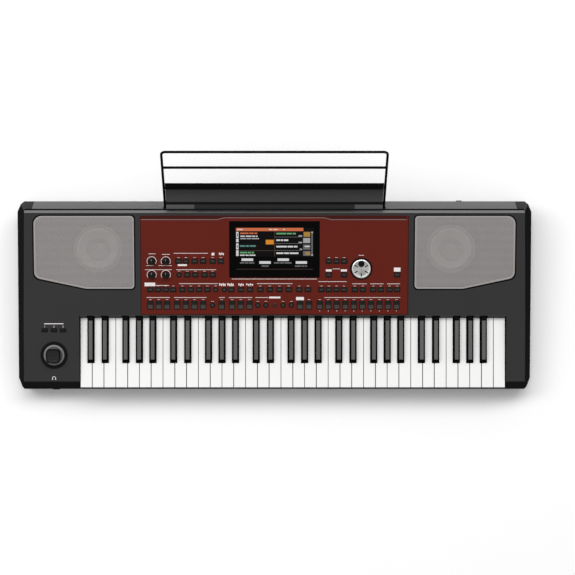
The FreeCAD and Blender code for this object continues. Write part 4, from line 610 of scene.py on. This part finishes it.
stepped_patches = ((219.0, 226.0, 283.2, 286.0), (227.2, 234.0, 283.2, 286.0), (238.2, 243.9, 283.4, 285.8),
                   (246.0, 253.4, 283.5, 285.6), (218.8, 224.0, 252.6, 255.2))
for left, right, rear, near in stepped_patches:
    step = (right - left) / 4
    for index in range(4):
        drop = 0.5 * (index % 2)
        print_patch(left + step * index, left + step * (index + 0.72), rear + drop, near - 0.5 + drop)
rear_page_row = 0.105
mark_half = 0.0025
mark_near = 0.0013
mark_far = 0.0019
dot_gap = 0.0020
dot_section = ((0.0008, ink_top - ink_depth), (0.0008, ink_top),
               (0.0002, ink_top), (0.0002, ink_top - ink_depth))
for name, boxes in panel_buttons.items():
    for low, high in boxes:
        middle = (low[0] + high[0]) / 2
        if name != "page_buttons" or high[1] > rear_page_row:
            mark = (middle - mark_half, middle + mark_half, high[1] + mark_near, high[1] + mark_far)
            print_bar(panel_ink, ink_top, *mark)
        if name == "registration_buttons":
            hoop(panel_ink, dot_section, 10, (middle, low[1] - dot_gap))
scale_radius = 0.0092
scale_width = 0.0010
knob_spots = {}
for name in ("knob_rear_left", "knob_rear_right", "knob_front_left", "knob_front_right"):
    low, high = solids_of(name, panel_frame)[0]
    knob_spots[name] = ((low[0] + high[0]) / 2, (low[1] + high[1]) / 2)
    print_arc(panel_ink, ink_top, knob_spots[name], scale_radius, scale_width)
settle("panel_printing", panel_ink, [white_ink], "case", panel_frame)

# Screen: a sheet of black glass over the display module, with a lit picture of lists, tabs and bars.
# The picture is built of plain patches, each a hair higher than the one before it.

screen_black = finish("screen_black", (0.0008, 0.0008, 0.0009), (0.0014, 0.0014, 0.0015),
                      (0.08, 0.14), 0.02, 0.000004, Specular_IOR_Level=0.05)
dress("display_glass", screen_black, 0.0005)
glass_top = max(high[2] for low, high in solids_of("display_glass", panel_frame))
unlit = (0.002, 0.002, 0.002)
row_scale = 300
row_glow = (0.75, 0.95)


def lit(name, colour):
    """A colour of the lit picture, with the faint row structure of a liquid-crystal panel."""
    material = finish(name, unlit, unlit, (0.3, 0.4), 0.0004, 0.000002, Specular_IOR_Level=0.0,
                      Emission_Color=(*colour, 1))
    inputs = {"Vector": place_on(material), "Scale": row_scale}
    rows = finish_step(material, "TexWave", inputs, bands_direction="Y")
    feed(material, "Emission Strength", fade(material, rows["Fac"], 0, 1, *row_glow))
    return material


screen_colours = {
    "orange": (0.66, 0.17, 0.075), "white": (0.72, 0.72, 0.72), "grey": (0.16, 0.16, 0.17),
    "teal": (0.12, 0.27, 0.25), "green": (0.14, 0.40, 0.18), "gold": (0.42, 0.24, 0.05),
    "slate": (0.006, 0.005, 0.005), "brown": (0.085, 0.055, 0.045), "silver": (0.40, 0.40, 0.41),
    "amber": (0.75, 0.27, 0.03),
}
screen_patches = (
    ("slate", 235.8, 313.5, 227.9, 256.6), ("orange", 235.8, 303.2, 227.9, 231.1),
    ("white", 236.0, 238.4, 231.8, 237.9), ("white", 236.0, 238.4, 238.7, 242.2),
    ("white", 236.0, 238.4, 243.4, 249.4), ("white", 236.0, 238.4, 250.2, 256.0),
    ("slate", 236.8, 237.6, 233.4, 236.6), ("slate", 236.8, 237.6, 245.4, 247.6),
    ("orange", 240.0, 257.8, 232.6, 234.0),
    ("white", 240.2, 244.6, 235.6, 236.8), ("white", 245.6, 258.2, 235.6, 236.8),
    ("silver", 240.2, 259.5, 238.0, 239.2), ("amber", 265.6, 273.6, 239.8, 244.4),
    ("teal", 239.8, 256.4, 245.2, 246.8), ("green", 239.8, 254.6, 251.8, 253.4),
    ("white", 239.8, 256.0, 254.6, 255.8), ("brown", 239.2, 274.2, 250.4, 250.9),
    ("brown", 274.2, 274.8, 231.2, 256.4), ("green", 276.2, 296.4, 232.8, 234.4),
    ("white", 276.2, 288.8, 239.4, 241.0), ("white", 276.2, 298.0, 245.8, 247.4),
    ("white", 276.2, 299.0, 252.4, 254.0), ("grey", 275.0, 302.0, 236.8, 237.2),
    ("grey", 275.0, 302.0, 243.3, 243.7), ("grey", 275.0, 302.0, 250.2, 250.6),
    ("silver", 298.4, 302.0, 235.2, 236.6), ("silver", 298.4, 302.0, 241.8, 243.0),
    ("silver", 299.6, 302.0, 248.6, 249.8), ("gold", 303.4, 310.0, 231.9, 236.8),
    ("silver", 303.0, 310.0, 238.0, 243.0), ("grey", 303.0, 310.2, 244.6, 249.6),
    ("white", 304.6, 309.4, 245.8, 247.0), ("grey", 303.0, 310.2, 251.0, 255.8),
    ("gold", 305.6, 309.8, 252.0, 254.8), ("silver", 311.0, 312.8, 231.6, 233.4),
    ("grey", 311.2, 312.6, 233.8, 253.6), ("silver", 311.0, 312.8, 254.0, 255.8),
    ("white", 241.4, 253.0, 258.4, 261.0), ("white", 259.2, 270.6, 261.2, 263.8),
    ("white", 277.4, 288.8, 258.4, 261.0), ("white", 295.6, 306.8, 261.2, 263.8),
    ("grey", 239.8, 254.8, 262.2, 263.6), ("grey", 261.4, 268.4, 265.4, 266.8),
    ("grey", 273.8, 292.2, 262.2, 263.6), ("grey", 294.8, 307.6, 265.4, 266.8),
    ("brown", 236.5, 312.8, 269.0, 269.4), ("white", 237.0, 242.6, 229.0, 230.0),
    ("white", 268.8, 272.0, 229.0, 230.0), ("white", 273.2, 277.4, 229.0, 230.0),
    ("white", 283.0, 284.6, 229.0, 230.0),
)
patch_sink = 0.00002
patch_lift = 0.00004
patch_step = 0.000002
picture = bmesh.new()
colour_names = list(screen_colours)
for index, (colour, px_left, px_right, py_rear, py_front) in enumerate(screen_patches):
    lift = glass_top + patch_lift + patch_step * index
    reach = px_right - px_left
    spans = [(px_left, px_right)]
    if 1.0 < py_front - py_rear < 1.8 and reach > 9:
        cuts = (0.0, 0.34, 0.58, 1.0) if index % 2 else (0.0, 0.52, 0.80, 1.0)
        spans = [(px_left + reach * a, px_left + reach * b - 0.7) for a, b in zip(cuts, cuts[1:])]
    for span_left, span_right in spans:
        left, rear = seen_at(span_left, py_rear, panel_frame, lift)
        right, near = seen_at(span_right, py_front, panel_frame, lift)
        corners = oblong(left, right, near, rear)
        slab(picture, corners, glass_top - patch_sink, lift, colour_names.index(colour))
lit_colours = [lit("screen_" + name, colour) for name, colour in screen_colours.items()]
settle("screen_picture", picture, lit_colours, "case", panel_frame)

# Push buttons: charcoal caps with eased edges and a paler lens let into the top.
# The long ones in the front row have a paler front half, and a few are round.
# A dark red lamp is set into the panel among them.


def rounded(width, depth, radius, z, middle, steps=4):
    """A rectangle with rounded corners, anticlockwise."""
    points = []
    for x_side, y_side, start in ((1, 1, 0), (-1, 1, 90), (-1, -1, 180), (1, -1, 270)):
        for step in range(steps + 1):
            angle = math.radians(start + 90 * step / steps)
            points.append((middle[0] + x_side * (width / 2 - radius) + radius * math.cos(angle),
                           middle[1] + y_side * (depth / 2 - radius) + radius * math.sin(angle), z))
    return points


cap_charcoal = finish("cap_charcoal", (0.010, 0.0095, 0.009), (0.015, 0.0145, 0.014),
                      (0.45, 0.6), 0.0006, 0.00004, Specular_IOR_Level=0.06)
cap_pale = finish("cap_pale", (0.040, 0.039, 0.036), (0.056, 0.054, 0.050),
                  (0.45, 0.6), 0.0006, 0.00004, Specular_IOR_Level=0.1)
flange = 0.001
long_button = 0.014
eased_edge = ((0, -0.0009), (0.0002, -0.0004), (0.0006, -0.0001), (0.0011, 0))


def button_cap(mesh, low, high):
    """One cap over its CAD solid, with a lens or a pale front half on top."""
    middle = ((low[0] + high[0]) / 2, (low[1] + high[1]) / 2)
    width = high[0] - low[0] - 2 * flange
    depth = high[1] - low[1] - 2 * flange
    top = high[2]
    is_round = abs(width - depth) < 0.0005
    corner = width / 2 - 0.0001 if is_round else 0.0011
    rings = []
    for inset, drop in ((0, low[2] - top), *eased_edge):
        size = (width - 2 * inset, depth - 2 * inset)
        rings.append(rounded(*size, max(corner - inset, 0.0002), top + drop, middle, 5))
    loft(mesh, rings)
    pane_round = 0.45
    if depth > long_button:
        spot = (middle[0], middle[1] - depth * 0.18)
        pane = (width - 0.0026, depth * 0.46)
        pane_round = 0.15
    elif is_round:
        spot = middle
        pane = (width * 0.42, width * 0.42)
    else:
        spot = (middle[0], middle[1] + depth * 0.04)
        pane = (width * 0.66, depth * 0.24)
    pane_corner = min(pane) * pane_round
    loft(mesh, [rounded(*pane, pane_corner, top + rise, spot) for rise in (-0.0002, 0.00008)], 1)


for name, boxes in panel_buttons.items():
    caps = bmesh.new()
    for low, high in boxes:
        button_cap(caps, low, high)
    item = settle(name + "_caps", caps, [cap_charcoal, cap_pale], name, panel_frame)
    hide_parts(name)
lamp_red = finish("lamp_red", (0.030, 0.0045, 0.003), (0.050, 0.008, 0.006), (0.2, 0.3), 0.0006, 0.00002,
                  Specular_IOR_Level=0.3)
lamp_spot = seen_at(274.4, 305.4, panel_frame, ink_top)
lamp_profile = ((0.0092, 0.0018, 0.0004), (0.0090, 0.0018, 0.0010), (0.0078, 0.0014, 0.0012))
tempo_lamp = bmesh.new()
loft(tempo_lamp, [rounded(side, side, corner, z, lamp_spot) for side, corner, z in lamp_profile])
settle("tempo_lamp", tempo_lamp, [lamp_red], "case", panel_frame)

# Knobs: four small black knobs with fluted sides and a pointer line in the warm grey of the grilles.
# Each is pressed on to the steel shaft of a potentiometer under the panel.

knob_black = finish("knob_black", (0.003, 0.003, 0.003), (0.007, 0.007, 0.007), (0.35, 0.5), 0.0006, 0.00004,
                    Specular_IOR_Level=0.1)
grille_paint = finish("grille_paint", (0.295, 0.275, 0.270), (0.349, 0.327, 0.321),
                      (0.42, 0.55), 0.0008, 0.00004)
knob_profile = ((0.0070, 0.0013), (0.0070, 0.0026), (0.0066, 0.0032), (0.0061, 0.0125),
                (0.0056, 0.0138), (0.0045, 0.0143))
knob_sides = 72
flute_depth = 0.00035
fluted_from = 0.003
fluted_to = 0.0135
shaft_radius = 0.0030
pointer_size = (0.0007, 0.0040, 0.0003)
pointer_reach = 0.0038
for name, spot in knob_spots.items():
    knob = bmesh.new()
    low, high = solids_of(name, panel_frame)[0]
    rings = []
    for radius, rise in knob_profile:
        ring = []
        for index, (x, y, z) in enumerate(circle(1.0, rise, knob_sides)):
            depth = flute_depth if index % 4 in (1, 2) and fluted_from < z < fluted_to else 0.0
            ring.append((spot[0] + x * (radius - depth), spot[1] + y * (radius - depth), z))
        rings.append(ring)
    rings.append(circle(0.0035, 0.0140, knob_sides, spot))
    loft(knob, rings)
    turned(knob, ((shaft_radius, low[2]), (shaft_radius, 0.0014)), 24, spot, 2)
    pointer = (spot[0], spot[1] + pointer_reach)
    loft(knob, [rounded(*pointer_size, z, pointer) for z in (0.0139, 0.01442)], 1)
    item = settle(name + "_cap", knob, [knob_black, grille_paint, plated_steel], name, panel_frame)
    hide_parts(name)

# Data dial: a turned aluminium disc with a black finger dimple and five black marks.
# It turns without end on an encoder, inside a dark ring on the panel.


def turned_metal(name, low, high):
    """Bright metal with the round marks of the lathe."""
    material = finish(name, low, high, (0.24, 0.34), 0.0009, 0.00002, Metallic=1.0, Anisotropic=0.7)
    across = finish_step(material, "Tangent", {}, direction_type="RADIAL", axis="Z")
    feed(material, "Tangent", across["Tangent"])
    return material


stick_black = finish("stick_black", (0.003, 0.003, 0.0032), (0.006, 0.006, 0.006),
                     (0.30, 0.45), 0.0007, 0.00004, Specular_IOR_Level=0.08)
turned_aluminium = turned_metal("turned_aluminium", (0.70, 0.70, 0.69), (0.80, 0.80, 0.79))
dial_face = turned_metal("dial_face", (0.50, 0.50, 0.49), (0.62, 0.62, 0.61))
low, high = solids_of("value_dial", panel_frame)[0]
dial_spot = ((low[0] + high[0]) / 2, (low[1] + high[1]) / 2)
dial_top = high[2]
dimple_reach = 0.010
mark_corners = oblong(0.0083, 0.0154, -0.0010, 0.0010)
mark_sink = 0.0002
mark_rise = 0.00005
disc_steps = ((0.0180, -0.0065), (0.0187, -0.0056), (0.0187, -0.0012), (0.0184, -0.0004), (0.0177, 0.0),
              (0.0158, 0.0), (0.0154, -0.0002), (0.0100, -0.0002), (0.0010, -0.0002))
disc_profile = [(radius, dial_top + drop) for radius, drop in disc_steps]
dimple_steps = ((0.0062, 0.0003), (0.0061, 0.00065), (0.0056, 0.0006), (0.0044, 0.00025),
                (0.0026, 0.0001), (0.0008, 0.00006))
dimple_profile = [(radius, dial_top + rise) for radius, rise in dimple_steps]
dial = bmesh.new()
turned(dial, disc_profile[:7], 64, dial_spot, 0, top=False)
turned(dial, disc_profile[6:], 64, dial_spot, 3, base=False)
turned(dial, ((shaft_radius, low[2]), (shaft_radius, dial_top - 0.006)), 24, dial_spot, 2)
turned(dial, dimple_profile, 32, (dial_spot[0], dial_spot[1] + dimple_reach), 1)
for degrees in (30, 150, 210, 270, 330):
    angle = math.radians(degrees)
    along = Vector((math.cos(angle), math.sin(angle)))
    aside = Vector((-along.y, along.x))
    corners = []
    for reach, side in mark_corners:
        spot = Vector(dial_spot) + along * reach + aside * side
        corners.append((spot.x, spot.y))
    slab(dial, corners, dial_top - mark_sink, dial_top + mark_rise, 1)
dial_finishes = [turned_aluminium, stick_black, plated_steel, dial_face]
item = settle("data_dial", dial, dial_finishes, "value_dial", panel_frame)
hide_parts("value_dial")
ring_section = ((0.0222, 0.0004), (0.0222, 0.0010), (0.0216, 0.0013), (0.0197, 0.0009), (0.0192, 0.0004))
dial_ring = bmesh.new()
hoop(dial_ring, ring_section, 64, dial_spot)
settle("dial_ring", dial_ring, [stick_black], "case", panel_frame)

# Grilles: sheet steel in warm grey paint, with a rounded rim, bedded in the lid on a dark seal.
# Hexagonal holes, punched in close rows, let the speakers show through as faint rings.

grille_inner = 0.2772
grille_outer = 0.4757
grille_near = 0.0537
grille_rear = 0.1993
grille_turn = 0.3728
grille_shoulder = 0.0757
corner_steps = 8


def grille_outline(side, inset):
    """The grille's edge with rounded corners, anticlockwise, in the panel's frame."""
    inner = grille_inner + inset
    outer = grille_outer - inset
    near = grille_near + inset
    rear = grille_rear - inset
    corners = ((inner, near, 0.007), (grille_turn, near, 0.03), (outer, grille_shoulder + inset, 0.014),
               (outer, rear, 0.016), (inner, rear, 0.007))
    points = []
    for index, (x, y, radius) in enumerate(corners):
        here = Vector((x, y))
        back = (Vector(corners[index - 1][:2]) - here).normalized()
        ahead = (Vector(corners[(index + 1) % len(corners)][:2]) - here).normalized()
        half = back.angle(ahead) / 2
        radius = max(radius - inset * 0.6, 0.002)
        middle = here + (back + ahead).normalized() * (radius / math.sin(half))
        start = here + back * (radius / math.tan(half)) - middle
        sweep = math.pi - 2 * half
        for step in range(corner_steps + 1):
            points.append(middle + Matrix.Rotation(sweep * step / corner_steps, 2) @ start)
    if side < 0:
        points = [Vector((-point.x, point.y)) for point in reversed(points)]
    return points


def inside(point, edge):
    """Whether a point in plan lies within a closed edge."""
    hits = 0
    for index in range(len(edge)):
        a = edge[index - 1]
        b = edge[index]
        if (a.y > point.y) != (b.y > point.y):
            if point.x < a.x + (b.x - a.x) * (point.y - a.y) / (b.y - a.y):
                hits += 1
    return hits % 2 == 1


rim_paint = finish("rim_paint", (0.280, 0.263, 0.258), (0.315, 0.296, 0.290), (0.42, 0.55), 0.0008, 0.00004)
seal_section = ((-0.0024, 0.0001), (-0.0021, 0.00025), (0.0004, 0.0003))
rim_section = ((0.0004, 0.0003), (0.0008, 0.0004), (0.0014, 0.00043), (0.0024, 0.0004),
               (0.0034, 0.0003), (0.0036, 0.0))
hole_pitch = 0.0026
hole_radius = 0.00080
hole_height = 0.0001
hole_margin = 0.0026
web_height = 0.0002
sheet_thickness = 0.0004
row_step = hole_pitch * math.sqrt(3) / 2
cell = hole_pitch / math.sqrt(3)
hexagon = [math.radians(30 + 60 * index) for index in range(6)]
for side, side_name in ((-1, "left"), (1, "right")):
    grille = bmesh.new()
    for slot, section in ((2, rim_section), (1, seal_section)):
        rings = [level(grille_outline(side, inset), z) for inset, z in section]
        loft(grille, rings, slot, base=False, top=False)
    limit = grille_outline(side, hole_margin)
    for row in range(int((grille_rear - grille_near) / row_step) + 1):
        for column in range(int((grille_outer - grille_inner) / hole_pitch) + 1):
            x = side * (grille_inner + (column + 0.5 * (row % 2)) * hole_pitch)
            y = grille_near + row * row_step
            if not inside(Vector((x, y)), limit):
                continue
            web = []
            hole = []
            for angle in hexagon:
                along = Vector((math.cos(angle), math.sin(angle)))
                web.append((x + cell * along.x, y + cell * along.y, web_height))
                hole.append((x + hole_radius * along.x, y + hole_radius * along.y, hole_height))
            loft(grille, [web, hole], base=False, top=False)
    bmesh.ops.remove_doubles(grille, verts=grille.verts, dist=1e-6)
    item = settle("grille_" + side_name, grille, [grille_paint, joint_black, rim_paint], "case", panel_frame)
    sheet = item.modifiers.new("sheet_steel", "SOLIDIFY")
    sheet.thickness = sheet_thickness
    sheet.offset = -1.0
    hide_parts("speaker_grilles")

# Joystick: a black dish in the left block, a grey collar, a dome and a rounded square cap with a hollow.
# The dome and cap tip together on a gimbal ring inside the dish; the collar is fixed to the dish.

block_near = (0, front + 0.016, 0.086)
block_tilt = math.atan((panel_front[2] - block_near[2]) / (panel_front[1] - block_near[1]))
block_frame = Matrix.Translation(block_near) @ Matrix.Rotation(block_tilt, 4, "X")
stick_spot = (-0.438, 0.0528)
pivot = -0.010
dome_grey = finish("dome_grey", (0.15, 0.15, 0.15), (0.19, 0.19, 0.19), (0.35, 0.5), 0.0008, 0.00003)
boot_grey = finish("boot_grey", (0.05, 0.05, 0.05), (0.075, 0.075, 0.075), (0.5, 0.65), 0.0008, 0.00003)
cap_grey = finish("cap_grey", (0.012, 0.012, 0.012), (0.020, 0.020, 0.020), (0.4, 0.55), 0.0007, 0.00003,
                  Specular_IOR_Level=0.1)
dress("joystick_housing", stick_black, 0.0006)
dress("joystick_gimbal", carrier_plastic, 0.0004)
dome_inner = 0.0194
dome_outer = 0.0203
dome_latitudes = (4, 14, 25, 36, 51, 63, 75)
dome_profile = []
for radius, latitudes in ((dome_inner, dome_latitudes[::-1]), (dome_outer, dome_latitudes)):
    for latitude in latitudes:
        angle = math.radians(latitude)
        dome_profile.append((radius * math.cos(angle), pivot + radius * math.sin(angle)))
dome = bmesh.new()
turned(dome, dome_profile, 64, stick_spot)
item = settle("joystick_dome", dome, [boot_grey], "joystick_lever", block_frame)
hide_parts("joystick_lever")
collar_section = ((0.0207, 0.0002), (0.0206, 0.0014), (0.0200, 0.0022), (0.0172, 0.0030),
                  (0.0166, 0.0028), (0.0165, 0.0022))
collar = bmesh.new()
hoop(collar, collar_section, 64, stick_spot)
settle("joystick_collar", collar, [dome_grey], "case", block_frame)
cap_profile = ((0.0258, 0.0060, 0.0233), (0.0276, 0.0065, 0.0240), (0.0284, 0.0067, 0.0262),
               (0.0284, 0.0067, 0.0290), (0.0276, 0.0064, 0.0310), (0.0260, 0.0060, 0.0321),
               (0.0230, 0.0056, 0.0323), (0.0190, 0.0056, 0.0316), (0.0120, 0.0055, 0.0309),
               (0.0072, 0.0035, 0.0311), (0.0050, 0.0024, 0.0304), (0.0020, 0.0009, 0.0302))
cap_rings = [rounded(side, side, corner, pivot + rise, stick_spot, 7) for side, corner, rise in cap_profile]
neck_profile = ((0.0055, pivot + 0.0190), (0.0050, pivot + 0.0240))
cap = bmesh.new()
turned(cap, neck_profile, 24, stick_spot)
loft(cap, cap_rings[:7], top=False)
loft(cap, cap_rings[6:], 1, base=False)
settle("joystick_cap", cap, [stick_black, cap_grey], "joystick_lever", block_frame)

# Assign switches: three small black rockers behind the joystick, with a line and numbers printed behind.
# A ring and two pads, printed in the same white ink at the front, mark the headphone socket.


def draw_into(mesh, drawing):
    """Adds to a mesh the solid shape that a curve or a numeral draws."""
    holder = bpy.data.objects.new("drawing", drawing)
    bpy.context.collection.objects.link(holder)
    bpy.context.view_layer.update()
    data = bpy.data.meshes.new_from_object(holder.evaluated_get(bpy.context.evaluated_depsgraph_get()))
    bpy.data.objects.remove(holder)
    mesh.from_mesh(data)
    bpy.data.meshes.remove(data)


assign_caps = bmesh.new()
assign_boxes = solids_of("assign_switches", block_frame)
for low, high in assign_boxes:
    button_cap(assign_caps, low, high)
item = settle("assign_caps", assign_caps, [knob_black, cap_charcoal], "assign_switches", block_frame)
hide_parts("assign_switches")
block_ink_top = 0.00008
block_ink = bmesh.new()
line_inset = 0.006
line_left = assign_boxes[0][0][0] + line_inset
line_right = assign_boxes[-1][1][0] - line_inset
numeral_gap = 0.0012
print_bar(block_ink, block_ink_top, line_left, line_right, 0.1147, 0.1163)
phones_u, phones_v = seen_at(53.9, 378.2, block_frame, block_ink_top)
print_arc(block_ink, block_ink_top, (phones_u, phones_v), 0.0032, 0.0011)
for left, right in ((-0.0039, -0.0018), (0.0018, 0.0039)):
    ear_pad = (phones_u + left, phones_u + right, phones_v - 0.0031, phones_v - 0.0010)
    print_bar(block_ink, block_ink_top, *ear_pad)
for number, (low, high) in enumerate(sorted(assign_boxes, key=lambda pair: pair[0][0]), start=1):
    writing = bpy.data.curves.new(f"numeral_curve_{number}", "FONT")
    writing.body = str(number)
    writing.size = 0.0052
    writing.extrude = 0.00005
    writing.align_x = "CENTER"
    numeral = bmesh.new()
    draw_into(numeral, writing)
    shift = Matrix.Translation(((low[0] + high[0]) / 2, high[1] + numeral_gap, block_ink_top))
    settle(f"numeral_{number}", numeral, [white_ink], "case", block_frame @ shift)
settle("block_printing", block_ink, [white_ink], "case", block_frame)

# Music stand: a bent steel rod with a crossbar, welded to a folded plate with a ledge for sheets.
# Its legs drop into two sleeves in the rear panel, and it lifts out along them.
# The plate's front edge is rolled into a narrow hem; a flat black strip along its top and one in the fold are
# painted shade.

stand_foot = (0, rear_face - 0.004, ridge + 0.00319)
stand_frame = Matrix.Translation(stand_foot) @ Matrix.Rotation(math.radians(57), 4, "X")
stand_coat = finish("stand_coat", (0.0015, 0.0015, 0.0016), (0.003, 0.003, 0.003),
                    (0.40, 0.55), 0.0006, 0.00008, Specular_IOR_Level=0.05)
plate_coat = finish("plate_coat", (0.030, 0.030, 0.031), (0.040, 0.040, 0.041),
                    (0.36, 0.50), 0.0006, 0.00006, Specular_IOR_Level=0.12)
plate_place = finish_step(plate_coat, "SeparateXYZ", {"Vector": place_on(plate_coat)})
# The plate is painted lighter towards its foot, above the ledge: painted light.
low_plate_light = fade(plate_coat, plate_place["Z"], stand_foot[2] + 0.045, stand_foot[2] + 0.004, high=0.9)
above_ledge = reckon(plate_coat, "GREATER_THAN", plate_place["Z"], stand_foot[2] + 0.001)
paint_over(plate_coat, reckon(plate_coat, "MULTIPLY", low_plate_light, above_ledge), (0.105, 0.105, 0.107))
# The ledge in front of the plate is painted near black: painted shade under the plate and the lip.
on_ledge = reckon(plate_coat, "LESS_THAN", plate_place["Y"], stand_foot[1] - 0.002)
paint_over(plate_coat, on_ledge, (0.010, 0.010, 0.010))
# Beyond the lip, the ends of the ledge are painted lighter: painted light where the lip casts no shadow.
ledge_end = 0.158
near_end = reckon(plate_coat, "GREATER_THAN", reckon(plate_coat, "ABSOLUTE", plate_place["X"]), ledge_end)
paint_over(plate_coat, reckon(plate_coat, "MULTIPLY", on_ledge, near_end), (0.070, 0.070, 0.071))
rod_radius = 0.0025
rod_bend = 0.008
rod_w = -0.0008
bar_v = 0.1140
bend_steps = 8
frame_low, frame_high = solids_of("stand_frame", stand_frame)[0]
half_span = frame_high[0] - rod_radius
top_v = frame_high[1] - rod_radius
half_loop = [(half_span, frame_low[1], rod_w), (half_span, 0.10, rod_w)]
for step in range(bend_steps + 1):
    angle = math.radians(90 * step / bend_steps)
    across = half_span - rod_bend + rod_bend * math.cos(angle)
    half_loop.append((across, top_v - rod_bend + rod_bend * math.sin(angle), rod_w))
loop = half_loop + [(-u, v, w) for u, v, w in reversed(half_loop)]
rods = bmesh.new()
for points in (loop, [(-half_span, bar_v, rod_w), (half_span, bar_v, rod_w)]):
    rod_line = bpy.data.curves.new("rod_line", "CURVE")
    rod_line.dimensions = "3D"
    rod_line.bevel_depth = rod_radius
    rod_line.bevel_resolution = 5
    rod_line.use_fill_caps = True
    spline = rod_line.splines.new("POLY")
    spline.points.add(len(points) - 1)
    for spot, point in zip(spline.points, points):
        spot.co = (*point, 1)
    draw_into(rods, rod_line)
item = settle("stand_rods", rods, [stand_coat], "music_stand", stand_frame)
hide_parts("stand_frame")
dress("stand_plate", plate_coat, 0.0004)
dress("stand_sockets", part_black, 0.0004)
plate_low, plate_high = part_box("stand_plate")
plate_half = plate_high[0]
to_stand = stand_frame.inverted()
ledge_top = plate_low[2] + 0.0017
fold_rear = stand_foot[1] + 0.0004
hem_top = plate_low[2] + 0.0075
hem = bmesh.new()
# A flat black strip along the top of the plate is painted shade for its steep upper band.
upper_shade_strip = ((0.0437, 0.0001), (0.0441, 0.0009), (0.0612, 0.0009), (0.0624, 0.0002), (0.0624, -0.0012))
bar_along_x(hem, upper_shade_strip, -plate_half, plate_half)
# A flat black strip in the fold behind the ledge is painted shade for the crease.
fold_shade_strip = oblong(fold_rear - 0.0052, fold_rear, ledge_top - 0.0003, ledge_top)
bar_along_x(hem, fold_shade_strip, -plate_half, plate_half, to_stand)
ledge_steps = ((0.0017, 0.0), (0.0014, 0.0004), (-0.0006, 0.0003), (-0.0013, -0.0006),
               (-0.0013, -0.0030), (0.0, -0.0040))
ledge_hem = [(plate_low[1] + back, hem_top + rise) for back, rise in ledge_steps]
bar_along_x(hem, ledge_hem, -plate_half, plate_half, to_stand)
settle("stand_hems_and_shade_strips", hem, [stand_coat], "music_stand", stand_frame)

# Studio: a pale seamless floor, one broad lamp overhead and a little to the rear, and a dim room.
# The floor is white to the camera and keeps the soft shadow in front of the keyboard and at its ends; to
# bounced light it is dark grey, which is painted shade on the keyboard's sides.

floor_mesh = bmesh.new()
bmesh.ops.create_grid(floor_mesh, x_segments=8, y_segments=8, size=6)
floor_data = bpy.data.meshes.new("studio_floor")
floor_mesh.to_mesh(floor_data)
floor_mesh.free()
floor = bpy.data.objects.new("studio_floor", floor_data)
bpy.context.collection.objects.link(floor)
floor_paper = finish("floor_paper", (0.97, 0.97, 0.97), (0.99, 0.99, 0.99), (0.85, 0.95), 0.01, 0.00001)
path_kind = finish_step(floor_paper, "LightPath", {})
seen = path_kind["Is Camera Ray"]
for kind in ("Is Glossy Ray", "Is Transmission Ray"):
    seen = reckon(floor_paper, "MAXIMUM", seen, path_kind[kind])
# To bounced light the floor is dark grey, so it throws little light back on the keyboard's sides and front:
# painted shade.
paint_over(floor_paper, reckon(floor_paper, "SUBTRACT", 1, seen), (0.12, 0.12, 0.12))
floor_data.materials.append(floor_paper)
softbox_light = bpy.data.lights.new("overhead_softbox", "AREA")
softbox_light.shape = "RECTANGLE"
softbox_light.size = 6.4
softbox_light.size_y = 1.6
softbox_light.energy = 188
softbox = bpy.data.objects.new("overhead_softbox", softbox_light)
bpy.context.collection.objects.link(softbox)
softbox.location = (-0.5, 1.8, 4.4)
softbox_aim = Vector((0, 0, 0.1)) - softbox.location
softbox.rotation_euler = softbox_aim.to_track_quat("-Z", "Y").to_euler()
room = bpy.data.worlds.new("studio_room")
room.use_nodes = True
toward = finish_step(room, "TexCoord", {})["Generated"]
upward = finish_step(room, "SeparateXYZ", {"Vector": toward})["Z"]
backdrop = room.node_tree.nodes["Background"]
backdrop.inputs["Color"].default_value = (1, 1, 1, 1)
room.node_tree.links.new(fade(room, upward, -0.1, 0.6, 0.05, 0.56), backdrop.inputs["Strength"])
bpy.context.scene.world = room

# Camera: a long lens straight above the keyboard, a little off the middle of the picture.
# Its height and place are those by which the printing and the bead were set out.

camera_data = bpy.data.cameras.new("overhead_camera")
camera_data.lens = 132.1
camera_data.sensor_width = 36
camera_data.shift_x = 0.0227
camera_data.clip_end = 50
camera = bpy.data.objects.new("overhead_camera", camera_data)
bpy.context.collection.objects.link(camera)
camera.location = eye
bpy.context.scene.camera = camera
bpy.context.scene.view_settings.view_transform = "Standard"
